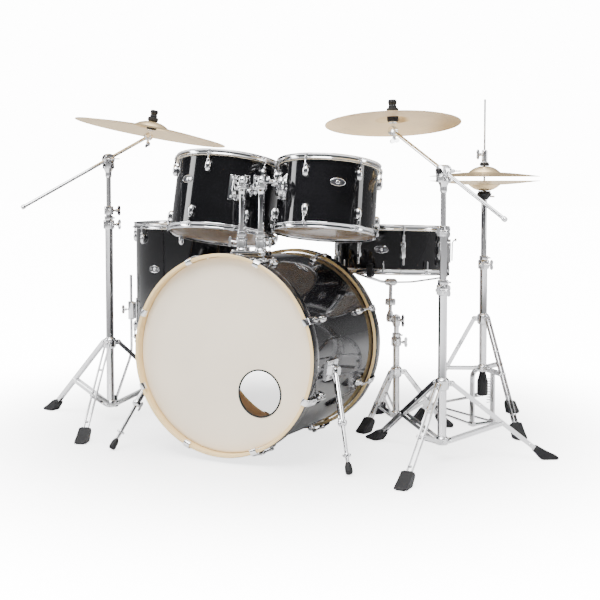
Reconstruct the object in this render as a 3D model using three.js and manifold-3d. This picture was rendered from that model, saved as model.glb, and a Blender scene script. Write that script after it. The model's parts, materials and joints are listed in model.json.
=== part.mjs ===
// A five-piece acoustic drum kit with its stands and cymbals, in millimetres, +Z up.
// The layout is measured from the bass drum: its front rim stands above the layout's origin,
// +X is to the right seen from the front, and +Y runs back towards the player.
// At the end the whole kit is shifted so that its origin is under the middle of its box.

import * as THREE from "three";
import { mergeVertices } from "three/addons/utils/BufferGeometryUtils.js";
import Module from "manifold-3d";

const wasm = await Module();
wasm.setup();

// ---------------------------------------------------------------- driving sizes

const INCH = 25.4;
const GAP = 0.3; // between pieces that touch

const DRUM_SIDES = 20;
const BASS_SIDES = 28;
const ROD_SIDES = 8;
const TUBE_SIDES = 10; // of a stand's tubes, so that one slides inside the other

const bass = {
  diameter: 22 * INCH,
  depth: 18 * INCH,
  wall: 7.5,
  hoopWall: 10.5,
  hoopDepth: 38,
  recess: 24, // from the rim back to the head
  frontLift: 14.7, // how far the spurs raise the front rim
  portRadius: 66,
  portRight: 115,
  portDown: 102,
};

const bassLength = bass.depth + 2 * bass.recess;

// Parts that every small drum shares.
const drumWall = 6;
const headFilm = 1.5;
const fleshRing = 3.4; // how far the head's ring stands out from the shell
const collar = 8; // from the bearing edge down to the ring
const ringHeight = 6;
const rimWall = 5;
const rimRise = 9.5; // how far a rim stands above its head

const shellRadius = bass.diameter / 2;
const hoopInner = shellRadius + GAP + headFilm + GAP;
const hoopRadius = hoopInner + bass.hoopWall;

// A rack tom hangs from the ball on its post: heading and reach lead from the ball to its shell.
const toms = [
  {
    name: "left_tom",
    diameter: 13 * INCH,
    depth: 9 * INCH,
    side: -1,
    armHeading: 131.68,
    armReach: 66.5,
    drop: 64.18,
    axis: [0.005, 0.229, 0.973],
  },
  {
    name: "right_tom",
    diameter: 12 * INCH,
    depth: 8 * INCH,
    side: 1,
    armHeading: 51.82,
    armReach: 67.6,
    drop: 60.18,
    axis: [-0.015, 0.19, 0.982],
  },
];
const tomHolder = {
  forward: 327,
  spread: 32,
  postRadius: 9.5,
  postRise: 225.6, // from the shell up to the ball
  postInside: 90,
  saddleMargin: 26,
  saddleHalf: 34,
  saddleThick: 14,
  socketTop: 46,
  socketWall: 8,
};
const tomArm = {
  ball: 13,
  rod: 6.5,
  cupWall: 2,
  cupDepth: 24,
  seatDrop: 9.5,
  seatPlay: 0.9,
  bracketWide: 44,
  bracketTall: 60,
  bracketThick: 16,
  drop: 12,
};

// Places on the floor are (x, y). Drums and stands behind the bass drum are set out from its rear rim.
const floorTom = {
  name: "floor_tom",
  diameter: 16 * INCH,
  depth: 16 * INCH,
  centre: [-494, bassLength + 166.8, 441.5],
};
const floorLeg = {
  rod: 4.8,
  standoff: 20,
  bendHeight: 190,
  footRadius: 284,
  top: 470,
  footSize: 11,
  footHeight: 34,
  firstAngle: 217.2,
};
const floorBracket = { bottom: -130, top: -70, halfWidth: 16, beyondLeg: 10 };

const spurs = [
  { name: "left_spur", side: -1, tip: [-362, -29] },
  { name: "right_spur", side: 1, tip: [391, 21] },
];
const spurPivot = { y: 151, z: 262, standoff: 14 };
const spurSize = { tube: 9, rod: 5.5, hub: 13, hubIn: 9, hubOut: 12, foot: 10, spike: 7 };

const snare = { name: "snare", diameter: 14 * INCH, depth: 5.5 * INCH, strainerAngle: 16 };
const snareStand = {
  name: "snare_stand",
  centre: [284.5, bassLength + 162.2],
  footRadius: 189,
  firstAngle: 12.7,
  pivotHeight: 176,
  tubeBottom: 23,
  tubeTop: 290,
  tubeWall: 2.2,
  innerRadius: 8.75,
  legWidth: 14,
};
const basket = { ball: [254.5, bassLength + 182.2, 348], tilt: 3, hub: 124, snareCentre: 229, armRod: 5 };

const rideStand = {
  name: "ride_stand",
  centre: [-592, 296],
  footRadius: 325,
  firstAngle: 168.6,
  pivotHeight: 266,
  tubeBottom: 50,
  tubeTop: 674,
  tubeWall: 2.8,
  innerRadius: 9.6,
  legWidth: 18,
  neckHeight: 720,
  neckRadius: 8,
  boomAboveBass: 292,
  boomFront: 153,
  boomRear: 329,
  boomRise: 28.5,
  boomHeading: 55.9,
  tilterShift: [10.8, 5.2, 0],
  cymbal: "ride_cymbal",
  cymbalDiameter: 20 * INCH,
  cymbalNormal: [0.138, 0.121, 0.983],
};
const crashStand = {
  name: "crash_stand",
  centre: [566, 286],
  footRadius: 340,
  firstAngle: 29.4,
  pivotHeight: 224,
  tubeBottom: 48,
  tubeTop: 508,
  tubeWall: 2,
  innerRadius: 10.4,
  legWidth: 18,
  neckHeight: 675,
  neckRadius: 8,
  boomAboveBass: 248,
  boomFront: 246,
  boomRear: 268,
  boomRise: 29.5,
  boomHeading: 152.7,
  tilterShift: [0, 0, 0],
  cymbal: "crash_cymbal",
  cymbalDiameter: 16 * INCH,
  cymbalNormal: [-0.073, 0.12, 0.99],
};
const boomRod = 5.5;
const tilter = { rod: 4, toCymbal: 55, block: 11, seat: 14, seatThick: 14, cap: 10, aboveCymbal: 38 };
const boomFork = { halfLength: 13, cheekAt: 14, cheek: 5, below: 30, above: 13, hub: 12, hubHalf: 11 };

const hihat = {
  name: "hihat_stand",
  centre: [544, bassLength + 278.8],
  footRadius: 237,
  firstAngle: 77.5,
  pivotHeight: 352,
  tubeBottom: 177,
  tubeTop: 545,
  tubeWall: 2.8,
  innerRadius: 9.4,
  legWidth: 14,
  frameHalf: 42,
  frameRod: 6,
  floorRod: 3.5,
  pedalHeading: 143.8,
  heelDistance: 281,
  heelHeight: 14,
  heelHalf: 36,
  toeDistance: 16,
  toeHeight: 95,
  boardWidth: 76,
  boardThick: 4,
  seatTop: 771,
  seatRadius: 24,
  pullRod: 3.2,
  pullPlay: 1.6,
  pullRise: 30, // of the upper pull rod's lower end above the base tube
  pullTop: 1069,
  cymbalDiameter: 14 * INCH,
  opening: 14,
};
const cymbalWall = 1.6;
const cymbalHole = 6.5;
const bellHeight = 20;
const bowShare = 0.035; // of a cymbal's diameter
const bellSlope = 1.6; // how far a bell falls away over the felt under it

const legPivotRadius = 29; // of a tripod's leg pins from the tube's axis
const legHalfHeight = 6;
const foot = { length: 58, topHalf: 12, bottomHalf: 16, width: 36 };
const standCollar = {
  pivotWall: 8,
  pivotHalf: 14,
  lowerWall: 6,
  lowerHeight: 22,
  clampWall: 5,
  clampHeight: 28,
};

// ---------------------------------------------------------------- finishes

const finish = {
  wrap: new THREE.MeshStandardMaterial({ color: 0x0b0b0d, roughness: 0.12, metalness: 0.0 }),
  maple: new THREE.MeshStandardMaterial({ color: 0xd8b079, roughness: 0.4, metalness: 0.0 }),
  coated: new THREE.MeshStandardMaterial({ color: 0xddd7cf, roughness: 0.75, metalness: 0.0 }),
  chrome: new THREE.MeshStandardMaterial({ color: 0xc9ccd0, roughness: 0.14, metalness: 1.0 }),
  bronze: new THREE.MeshStandardMaterial({ color: 0xcdb48a, roughness: 0.32, metalness: 1.0 }),
};

// ---------------------------------------------------------------- shapes

const vector = (coordinates) => new THREE.Vector3(...coordinates);
const radians = THREE.MathUtils.degToRad;
const upward = new THREE.Vector3(0, 0, 1);

// A body turned about +Z. The outline is (radius, height) pairs, out along the bottom and back along the top.
function turned(outline, sides = ROD_SIDES) {
  const points = outline.map(([radius, height]) => new THREE.Vector2(radius, height));
  return new THREE.LatheGeometry(points, sides).rotateX(Math.PI / 2);
}

// A ring about +Z: the same, closed on itself instead of on the axis.
function ring(outline, sides = ROD_SIDES) {
  return turned([...outline, outline[0]], sides);
}

// A pipe about +Z.
function pipe(inner, outer, bottom, top, sides = ROD_SIDES) {
  return ring([[inner, bottom], [outer, bottom], [outer, top], [inner, top]], sides);
}

// A disc or short cylinder about +Z.
function disc(radius, bottom, top, sides = ROD_SIDES) {
  return turned([[0, bottom], [radius, bottom], [radius, top], [0, top]], sides);
}

// A round rod between two points.
function rod(from, to, radius, sides = ROD_SIDES) {
  const along = to.clone().sub(from);
  const length = along.length();
  const turn = new THREE.Quaternion().setFromUnitVectors(new THREE.Vector3(0, 1, 0), along.normalize());
  return new THREE.CylinderGeometry(radius, radius, length, sides)
    .translate(0, length / 2, 0)
    .applyQuaternion(turn)
    .translate(from.x, from.y, from.z);
}

// A flat piece cut to an outline in the X-Z plane, its thickness centred on Y.
function plate(outline, thickness) {
  const shape = new THREE.Shape(outline.map(([x, z]) => new THREE.Vector2(x, z)));
  return new THREE.ExtrudeGeometry(shape, { depth: thickness, bevelEnabled: false })
    .translate(0, 0, -thickness / 2)
    .rotateX(Math.PI / 2);
}

function box(low, high) {
  const size = high.map((value, i) => value - low[i]);
  const middle = high.map((value, i) => (value + low[i]) / 2);
  return new THREE.BoxGeometry(...size).translate(...middle);
}

function solid(geometry) {
  const bare = geometry.clone();
  bare.deleteAttribute("normal");
  bare.deleteAttribute("uv");
  const merged = mergeVertices(bare, 1e-4);
  const triVerts = new Uint32Array(merged.index.array);
  const vertProperties = merged.attributes.position.array;
  return new wasm.Manifold(new wasm.Mesh({ numProp: 3, vertProperties, triVerts }));
}

function geometryOf(body) {
  const { vertProperties, triVerts } = body.getMesh();
  return new THREE.BufferGeometry()
    .setAttribute("position", new THREE.BufferAttribute(new Float32Array(vertProperties), 3))
    .setIndex(new THREE.BufferAttribute(new Uint32Array(triVerts), 1));
}

function joined(first, ...others) {
  return geometryOf(others.reduce((sum, shape) => sum.add(solid(shape)), solid(first)));
}

function without(first, ...others) {
  return geometryOf(others.reduce((rest, shape) => rest.subtract(solid(shape)), solid(first)));
}

const kit = new THREE.Group();

function place(name, geometry, material, parent = kit) {
  const mesh = new THREE.Mesh(geometry, material);
  mesh.name = name;
  parent.add(mesh);
  return mesh;
}

function groupAt(position, axis = [0, 0, 1], parent = kit) {
  const group = new THREE.Group();
  group.position.copy(vector(position));
  group.quaternion.setFromUnitVectors(new THREE.Vector3(0, 0, 1), vector(axis).normalize());
  parent.add(group);
  return group;
}

// ---------------------------------------------------------------- drums

// A head seen from its shell: a film over the bearing edge, a collar and the ring that the rim presses on.
function headOutline(shellRadius) {
  const inner = shellRadius + GAP;
  const film = inner + headFilm;
  const outer = shellRadius + fleshRing;
  return [
    [0, GAP],
    [inner, GAP],
    [inner, -collar - ringHeight],
    [outer, -collar - ringHeight],
    [outer, -collar],
    [film, -collar],
    [film, GAP + headFilm],
    [0, GAP + headFilm],
  ];
}

// A rim: it sits on the head's ring and stands above the film.
function rimOutline(shellRadius) {
  const inner = shellRadius + GAP + headFilm + GAP;
  const outer = inner + rimWall;
  return [[inner, -collar + GAP], [outer, -collar + GAP], [outer, rimRise], [inner, rimRise]];
}

// A rim and its head in one piece, for the underside of a drum.
function rimWithHeadOutline(shellRadius) {
  const inner = shellRadius + GAP;
  const outer = shellRadius + 2 * GAP + headFilm + rimWall;
  const film = shellRadius + 2 * GAP + headFilm;
  return [
    [0, GAP],
    [inner, GAP],
    [inner, -collar - ringHeight],
    [outer, -collar - ringHeight],
    [outer, rimRise],
    [film, rimRise],
    [film, GAP + headFilm],
    [0, GAP + headFilm],
  ];
}

// Shell, rims and heads of a drum whose middle is at the group's origin, its axis along +Z.
function addDrum(group, spec, extras = [], bores = []) {
  const radius = spec.diameter / 2;
  const half = spec.depth / 2;
  const bare = pipe(radius - drumWall, radius, -half, half, DRUM_SIDES);
  const fitted = extras.length ? joined(bare, ...extras) : bare;
  place(spec.name + "_shell", bores.length ? without(fitted, ...bores) : fitted, finish.wrap, group);
  const top = turned(headOutline(radius), DRUM_SIDES).translate(0, 0, half);
  place(spec.name + "_batter_head", top, finish.coated, group);
  const rim = ring(rimOutline(radius), DRUM_SIDES).translate(0, 0, half);
  place(spec.name + "_batter_hoop", rim, finish.chrome, group);
  const under = turned(rimWithHeadOutline(radius), DRUM_SIDES).rotateX(Math.PI).translate(0, 0, -half);
  place(spec.name + "_bottom_hoop", under, finish.chrome, group);
}

// The bass drum lies along its group's +Z, which points forward and a little up; +Y is up.
const bassTilt = Math.asin(bass.frontLift / bassLength);
const bassGroup = new THREE.Group();
bassGroup.position.set(0, bassLength, hoopRadius * Math.cos(bassTilt));
bassGroup.rotation.x = Math.PI / 2 - bassTilt;
kit.add(bassGroup);
bassGroup.updateMatrixWorld(true);
const fromBass = (x, up, forward) => new THREE.Vector3(x, up, forward).applyMatrix4(bassGroup.matrixWorld);

function bassHoop() {
  return [
    [hoopInner, bass.recess - bass.hoopDepth],
    [hoopRadius, bass.recess - bass.hoopDepth],
    [hoopRadius, bass.recess],
    [hoopInner, bass.recess],
  ];
}

// A bass head: film, collar and the ring that stands out behind the hoop.
function bassHeadOutline() {
  const inner = shellRadius + GAP;
  const film = inner + headFilm;
  const back = bass.recess - bass.hoopDepth - GAP;
  return [
    [0, GAP],
    [inner, GAP],
    [inner, back - ringHeight],
    [shellRadius + fleshRing + 3, back - ringHeight],
    [shellRadius + fleshRing + 3, back],
    [film, back],
    [film, GAP + headFilm],
    [0, GAP + headFilm],
  ];
}

function bassRearOutline() {
  const inner = shellRadius + GAP;
  const back = bass.recess - bass.hoopDepth;
  return [
    [0, GAP],
    [inner, GAP],
    [inner, back],
    [hoopRadius, back],
    [hoopRadius, bass.recess],
    [hoopInner, bass.recess],
    [hoopInner, GAP + headFilm],
    [0, GAP + headFilm],
  ];
}

const rearEdge = bass.recess;
const frontEdge = bass.recess + bass.depth;
// A rod on a post's line, its ends given from the shell's surface.
function onPost(side, bottom, top, radius) {
  const x = side * tomHolder.spread;
  const from = new THREE.Vector3(x, shellRadius + bottom, tomHolder.forward);
  const to = new THREE.Vector3(x, shellRadius + top, tomHolder.forward);
  return rod(from, to, radius);
}
const postPlay = 1;
const postBores = [-1, 1].map((side) => onPost(side, -40, 40, tomHolder.postRadius + postPlay));
const bassTube = pipe(shellRadius - bass.wall, shellRadius, rearEdge, frontEdge, BASS_SIDES);
place("bass_shell", without(bassTube, ...postBores), finish.wrap, bassGroup);
const frontHoop = ring(bassHoop(), BASS_SIDES).translate(0, 0, frontEdge);
place("bass_front_hoop", frontHoop, finish.maple, bassGroup);
const port = disc(bass.portRadius, -10, 10, 16).translate(bass.portRight, -bass.portDown, frontEdge);
const frontHead = turned(bassHeadOutline(), BASS_SIDES).translate(0, 0, frontEdge);
place("bass_front_head", without(frontHead, port), finish.coated, bassGroup);
const rearHoop = turned(bassRearOutline(), BASS_SIDES)
  .rotateX(Math.PI)
  .rotateZ(Math.PI)
  .translate(0, 0, rearEdge);
place("bass_rear_hoop", rearHoop, finish.maple, bassGroup);

// ---------------------------------------------------------------- spurs

function addSpur({ name, side, tip }) {
  const shellCentre = hoopRadius + bass.frontLift * (1 - spurPivot.y / bassLength);
  const down = shellCentre - spurPivot.z;
  const reach = Math.sqrt((shellRadius + spurPivot.standoff) ** 2 - down ** 2);
  const pivot = new THREE.Vector3(side * reach, spurPivot.y, spurPivot.z);
  const end = new THREE.Vector3(tip[0], tip[1], 0);
  const middle = pivot.clone().lerp(end, 0.55);
  const footTop = pivot.clone().lerp(end, 0.88);
  const hubInside = pivot.clone().add(new THREE.Vector3(-side * spurSize.hubIn, 0, 0));
  const hubOutside = pivot.clone().add(new THREE.Vector3(side * spurSize.hubOut, 0, 0));
  const spur = joined(
    rod(pivot, middle, spurSize.tube),
    rod(hubInside, hubOutside, spurSize.hub),
    rod(pivot, end.clone().setZ(8), spurSize.rod),
    rod(footTop, end.clone().setZ(14), spurSize.foot),
    disc(spurSize.spike, 0, 24).translate(end.x, end.y, 0),
  );
  place(name, spur, finish.chrome);
}
spurs.forEach(addSpur);

// ---------------------------------------------------------------- tom holder

const saddleHalfX = tomHolder.spread + tomHolder.saddleMargin;
const saddle = box(
  [-saddleHalfX, shellRadius - 8, tomHolder.forward - tomHolder.saddleHalf],
  [saddleHalfX, shellRadius + tomHolder.saddleThick, tomHolder.forward + tomHolder.saddleHalf],
);
const socketRadius = tomHolder.postRadius + tomHolder.socketWall;
const sockets = [-1, 1].map((side) => onPost(side, 10, tomHolder.socketTop, socketRadius));
const socketBores = [-1, 1].map((side) => onPost(side, -60, 80, tomHolder.postRadius + GAP));
const shellSpace = disc(shellRadius + GAP, 0, bassLength, BASS_SIDES);
const holder = without(joined(saddle, ...sockets), shellSpace, ...socketBores);
place("tom_holder", holder, finish.chrome, bassGroup);

function addTomMount(spec) {
  const cupTop = tomHolder.postRise - tomArm.seatDrop;
  const x = spec.side * tomHolder.spread;
  const ballHeight = shellRadius + tomHolder.postRise;
  const seat = new THREE.SphereGeometry(tomArm.ball + tomArm.seatPlay, 12, 8)
    .translate(x, ballHeight, tomHolder.forward);
  const column = onPost(spec.side, -tomHolder.postInside, cupTop, tomHolder.postRadius);
  const cup = onPost(spec.side, cupTop - tomArm.cupDepth, cupTop, tomArm.ball + tomArm.cupWall);
  place(spec.name + "_post", without(joined(column, cup), seat), finish.chrome, bassGroup);

  const ball = fromBass(x, ballHeight, tomHolder.forward);
  const radius = spec.diameter / 2;
  const out = radius + spec.armReach;
  const angle = radians(spec.armHeading);
  const centre = [ball.x + out * Math.cos(angle), ball.y + out * Math.sin(angle), ball.z - spec.drop];
  const drum = groupAt(centre, spec.axis);
  addDrum(drum, spec);
  drum.updateMatrixWorld(true);
  const toBall = drum.worldToLocal(ball.clone());
  const heading = Math.atan2(toBall.y, toBall.x);
  const inner = radius + GAP;
  const outer = inner + tomArm.bracketThick;
  const height = toBall.z - tomArm.drop;
  const bracket = box(
    [inner, -tomArm.bracketWide / 2, height - tomArm.bracketTall / 2],
    [outer, tomArm.bracketWide / 2, height + tomArm.bracketTall / 2],
  ).rotateZ(heading);
  const inBracket = new THREE.Vector3((inner + outer) / 2, 0, toBall.z).applyAxisAngle(upward, heading);
  const arm = joined(
    new THREE.SphereGeometry(tomArm.ball, 12, 8).translate(toBall.x, toBall.y, toBall.z),
    rod(inBracket, toBall, tomArm.rod),
    bracket,
  );
  place(spec.name + "_arm", arm, finish.chrome, drum);
}
toms.forEach(addTomMount);

// ---------------------------------------------------------------- floor tom

const legLine = floorTom.diameter / 2 + floorLeg.standoff;
const legAngles = [0, 1, 2].map((i) => radians(floorLeg.firstAngle + 120 * i));
const { bottom: bracketBottom, top: bracketTop, halfWidth: bracketHalf } = floorBracket;
const legBracket = box(
  [floorTom.diameter / 2 - 3, -bracketHalf, bracketBottom],
  [legLine + floorBracket.beyondLeg, bracketHalf, bracketTop],
);
const legBore = disc(floorLeg.rod + GAP, bracketBottom - 5, bracketTop + 5).translate(legLine, 0, 0);
const legBrackets = legAngles.map((angle) => legBracket.clone().rotateZ(angle));
const legBores = legAngles.map((angle) => legBore.clone().rotateZ(angle));
const floorGroup = groupAt(floorTom.centre);
addDrum(floorGroup, floorTom, legBrackets, legBores);

legAngles.forEach((angle, i) => {
  const ground = -floorTom.centre[2];
  const top = new THREE.Vector3(legLine, 0, ground + floorLeg.top);
  const bend = new THREE.Vector3(legLine, 0, ground + floorLeg.bendHeight);
  const ankle = new THREE.Vector3(floorLeg.footRadius, 0, ground + 20);
  const leg = joined(
    rod(bend, top, floorLeg.rod),
    new THREE.SphereGeometry(floorLeg.rod, ROD_SIDES, 6).translate(bend.x, bend.y, bend.z),
    rod(bend, ankle, floorLeg.rod),
    disc(floorLeg.footSize, ground, ground + floorLeg.footHeight).translate(floorLeg.footRadius, 0, 0),
  ).rotateZ(angle);
  place("floor_tom_leg_" + (i + 1), leg, finish.chrome, floorGroup);
});

// ---------------------------------------------------------------- tripods

// One leg in the X-Z plane: a bar from its pin to the floor, and a foot cut flat on the floor.
function legShape({ footRadius, pivotHeight, legWidth }) {
  const pin = new THREE.Vector2(legPivotRadius, pivotHeight);
  const slope = Math.atan2(pivotHeight, footRadius - legPivotRadius);
  const sole = new THREE.Vector2(footRadius - foot.bottomHalf / Math.sin(slope), 0);
  const along = sole.clone().sub(pin).normalize();
  const across = new THREE.Vector2(-along.y, along.x);
  const at = (distance, offset) => {
    return sole.clone().addScaledVector(along, -distance).addScaledVector(across, offset).toArray();
  };
  const length = sole.distanceTo(pin);
  const inFoot = foot.length / 2;
  const bar = [
    at(inFoot, -legHalfHeight),
    at(inFoot, legHalfHeight),
    at(length, legHalfHeight),
    at(length + legHalfHeight - 1, 0),
    at(length, -legHalfHeight),
  ];
  const onFloor = (offset) => [sole.x + offset / Math.sin(slope), 0];
  const wedge = [
    onFloor(-foot.bottomHalf),
    onFloor(foot.bottomHalf),
    at(foot.length, foot.topHalf),
    at(foot.length, -foot.topHalf),
  ];
  return joined(plate(bar, legWidth), plate(wedge, foot.width));
}

function addLegs(stand) {
  const leg = legShape(stand);
  for (let i = 0; i < 3; i += 1) {
    const turn = groupAt([...stand.centre, 0]);
    turn.rotateZ(radians(stand.firstAngle + 120 * i));
    place(stand.name + "_leg_" + (i + 1), leg.clone(), finish.chrome, turn);
  }
}

const tubeRadius = (stand) => stand.innerRadius + GAP + stand.tubeWall;

// The fixed tube of a stand with its collars and clamp, bored for the tube that slides in it.
function baseTube(stand) {
  const bore = stand.innerRadius + GAP;
  const outer = tubeRadius(stand);
  const sleeve = (wall, bottom, top) => pipe(bore, outer + wall, bottom, top, TUBE_SIDES);
  const { pivotHeight, tubeBottom, tubeTop } = stand;
  return joined(
    sleeve(0, tubeBottom, tubeTop),
    sleeve(standCollar.pivotWall, pivotHeight - standCollar.pivotHalf, pivotHeight + standCollar.pivotHalf),
    sleeve(standCollar.lowerWall, tubeBottom, tubeBottom + standCollar.lowerHeight),
    sleeve(standCollar.clampWall, tubeTop - standCollar.clampHeight, tubeTop),
  );
}

// ---------------------------------------------------------------- snare drum on its stand

const snareBase = groupAt([...snareStand.centre, 0]);
place("snare_stand_base", baseTube(snareStand), finish.chrome, snareBase);
addLegs(snareStand);

const ballOffset = vector(basket.ball).sub(new THREE.Vector3(...snareStand.centre, 0));
const tubeHead = new THREE.Vector3(0, 0, basket.ball[2]);
const besideBall = tubeHead.clone().lerp(ballOffset, 0.62);
const snareUpper = joined(
  disc(snareStand.innerRadius, snareStand.tubeTop - 150, basket.ball[2] + 12, TUBE_SIDES),
  rod(tubeHead, besideBall, 9),
);
place("snare_stand_tube", snareUpper, finish.chrome, snareBase);

const basketTilt = radians(basket.tilt);
const basketGroup = groupAt(basket.ball, [0, Math.sin(basketTilt), Math.cos(basketTilt)]);
const snareRim = snare.diameter / 2 + 2 * GAP + headFilm + rimWall;
const snareUnder = basket.snareCentre - snare.depth / 2 - rimRise;
const armAngles = [30, 150, 270].map(radians);
const armPlay = 1; // between an arm's finger and the rim
const basketArms = armAngles.flatMap((angle) => {
  const elbow = new THREE.Vector3(snareRim + basket.armRod + armPlay, 0, snareUnder - basket.armRod - 3);
  const shoulder = new THREE.Vector3(12, 0, basket.hub);
  const finger = elbow.clone().setZ(snareUnder + 24);
  return [
    rod(shoulder, elbow, basket.armRod).rotateZ(angle),
    new THREE.SphereGeometry(basket.armRod, ROD_SIDES, 6).translate(elbow.x, elbow.y, elbow.z).rotateZ(angle),
    rod(elbow, finger, basket.armRod).rotateZ(angle),
  ];
});
const cradle = joined(
  disc(7, 12, basket.hub),
  disc(10, -10, 24),
  disc(20, basket.hub - 14, basket.hub + 8),
  ...basketArms,
);
place("snare_basket", cradle, finish.chrome, basketGroup);

const snareGroup = groupAt([0, 0, basket.snareCentre], [0, 0, 1], basketGroup);
const strainerAngle = radians(snare.strainerAngle);
const snareRadius = snare.diameter / 2;
const strainerBlock = box([snareRadius - 3, -16, -42], [snareRadius + 18, 16, 26]).rotateZ(strainerAngle);
addDrum(snareGroup, snare, [strainerBlock]);
const lever = joined(
  box([snareRadius + 18 + GAP, -9, -34], [snareRadius + 24, 9, 34]),
  box([snareRadius + 22, -9, 26], [snareRadius + 34, 9, 34]),
).rotateZ(strainerAngle);
place("snare_strainer_lever", lever, finish.chrome, snareGroup);

// ---------------------------------------------------------------- cymbals

// A cymbal about +Z with its edge at height 0: a bell, a bow and a thin edge.
function cymbal(diameter, wall = cymbalWall) {
  const edge = diameter / 2;
  const bellFoot = 30 + diameter * 0.06;
  const bowRise = diameter * bowShare;
  const bellRise = bowRise + bellHeight;
  const top = [
    [cymbalHole, bellRise],
    [bellFoot * 0.55, bellRise - 3],
    [bellFoot, bowRise],
    [(bellFoot + edge) / 2, bowRise * 0.62],
    [edge, 0],
  ];
  const under = top.map(([radius, height]) => [radius, height - wall]);
  return ring([...under, ...top.reverse()], DRUM_SIDES);
}
const bellTop = (diameter) => diameter * bowShare + bellHeight;

// ---------------------------------------------------------------- boom stands

function addBoomStand(stand) {
  const ground = groupAt([...stand.centre, 0]);
  place(stand.name + "_base", baseTube(stand), finish.chrome, ground);
  addLegs(stand);

  // The fork at the top of the upper tube: two cheeks in the boom's plane.
  const heading = radians(stand.boomHeading);
  const boomPivot = 2 * hoopRadius + stand.boomAboveBass;
  const { halfLength, cheekAt, cheek: cheekThick } = boomFork;
  const forkBottom = boomPivot - boomFork.below;
  const cheekOut = cheekAt + cheekThick / 2;
  const cheek = (side) => {
    const low = [-halfLength, side * cheekAt - cheekThick / 2, forkBottom];
    const high = [halfLength, side * cheekAt + cheekThick / 2, boomPivot + boomFork.above];
    return box(low, high);
  };
  const upper = joined(
    disc(stand.innerRadius, stand.tubeTop - 200, stand.neckHeight, TUBE_SIDES),
    disc(stand.neckRadius + 6, stand.neckHeight - 26, stand.neckHeight, TUBE_SIDES),
    disc(stand.neckRadius, stand.neckHeight - 30, forkBottom + 2),
    box([-halfLength, -cheekOut, forkBottom - 6], [halfLength, cheekOut, forkBottom + 3]).rotateZ(heading),
    cheek(-1).rotateZ(heading),
    cheek(1).rotateZ(heading),
  );
  place(stand.name + "_tube", upper, finish.chrome, ground);

  // The boom, its tilter and the rod that carries the cymbal.
  const rise = radians(stand.boomRise);
  const forward = new THREE.Vector3(Math.cos(rise), 0, Math.sin(rise)).applyAxisAngle(upward, heading);
  const pivot = new THREE.Vector3(0, 0, boomPivot);
  const nose = pivot.clone().addScaledVector(forward, stand.boomFront);
  const tail = pivot.clone().addScaledVector(forward, -stand.boomRear);
  const across = new THREE.Vector3(-Math.sin(heading), Math.cos(heading), 0);
  const shifted = nose.clone().add(vector(stand.tilterShift));
  const normal = vector(stand.cymbalNormal).normalize();
  const edge = shifted.clone().addScaledVector(normal, tilter.toCymbal - bellTop(stand.cymbalDiameter));
  const seatTop = tilter.toCymbal - cymbalWall - bellSlope;
  const along = (distance) => shifted.clone().addScaledVector(normal, distance);
  const hubEnd = (side) => pivot.clone().addScaledVector(across, side * boomFork.hubHalf);
  const boom = joined(
    rod(tail, nose, boomRod),
    rod(hubEnd(-1), hubEnd(1), boomFork.hub, 12),
    new THREE.SphereGeometry(tilter.block, 8, 6).translate(nose.x, nose.y, nose.z),
    rod(nose, shifted.clone().addScaledVector(across, 0.5), tilter.block - 3),
    new THREE.SphereGeometry(tilter.block - 2, 8, 6).translate(shifted.x, shifted.y, shifted.z),
    rod(along(0), along(tilter.toCymbal + tilter.aboveCymbal), tilter.rod),
    rod(along(seatTop - tilter.seatThick), along(seatTop), tilter.seat, 10),
    rod(along(tilter.toCymbal + GAP), along(tilter.toCymbal + tilter.seatThick), tilter.seat, 10),
    rod(along(tilter.toCymbal + tilter.seatThick - 2), along(tilter.toCymbal + 30), tilter.cap, 10),
  );
  place(stand.name + "_boom", boom, finish.chrome, ground);

  const plateGroup = groupAt(edge.toArray(), stand.cymbalNormal, ground);
  place(stand.cymbal, cymbal(stand.cymbalDiameter), finish.bronze, plateGroup);
}
addBoomStand(rideStand);
addBoomStand(crashStand);

// ---------------------------------------------------------------- hi-hat

const hatGroup = groupAt([...hihat.centre, 0]);
const pedalGroup = groupAt([0, 0, 0], [0, 0, 1], hatGroup);
pedalGroup.rotateZ(radians(hihat.pedalHeading));

// The base: the tube, a yoke on either side of the linkage, and two rods along the floor to the heel plate.
const yokeTop = hihat.tubeBottom + 8;
const yoke = [-1, 1].flatMap((side) => {
  const y = side * hihat.frameHalf;
  const shoulder = new THREE.Vector3(0, y, yokeTop - 6);
  return [
    rod(new THREE.Vector3(0, y, 4), shoulder, hihat.frameRod),
    rod(new THREE.Vector3(0, side * (tubeRadius(hihat) + 2), yokeTop), shoulder, hihat.frameRod),
    new THREE.SphereGeometry(hihat.frameRod, ROD_SIDES, 6).translate(shoulder.x, shoulder.y, shoulder.z),
    box([-9, y - 9, 0], [9, y + 9, 14]),
    rod(new THREE.Vector3(0, y, 5), new THREE.Vector3(hihat.heelDistance, side * 24, 5), hihat.floorRod),
  ];
});
const floorBar = box([-7, -hihat.frameHalf, 0], [7, hihat.frameHalf, 8]);
const heelPlate = box(
  [hihat.heelDistance - 22, -hihat.heelHalf, 0],
  [hihat.heelDistance + 26, hihat.heelHalf, 7],
);
const hatBase = joined(baseTube(hihat).rotateZ(-radians(hihat.pedalHeading)), floorBar, heelPlate, ...yoke);
place("hihat_base", hatBase, finish.chrome, pedalGroup);
addLegs(hihat);

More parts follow.
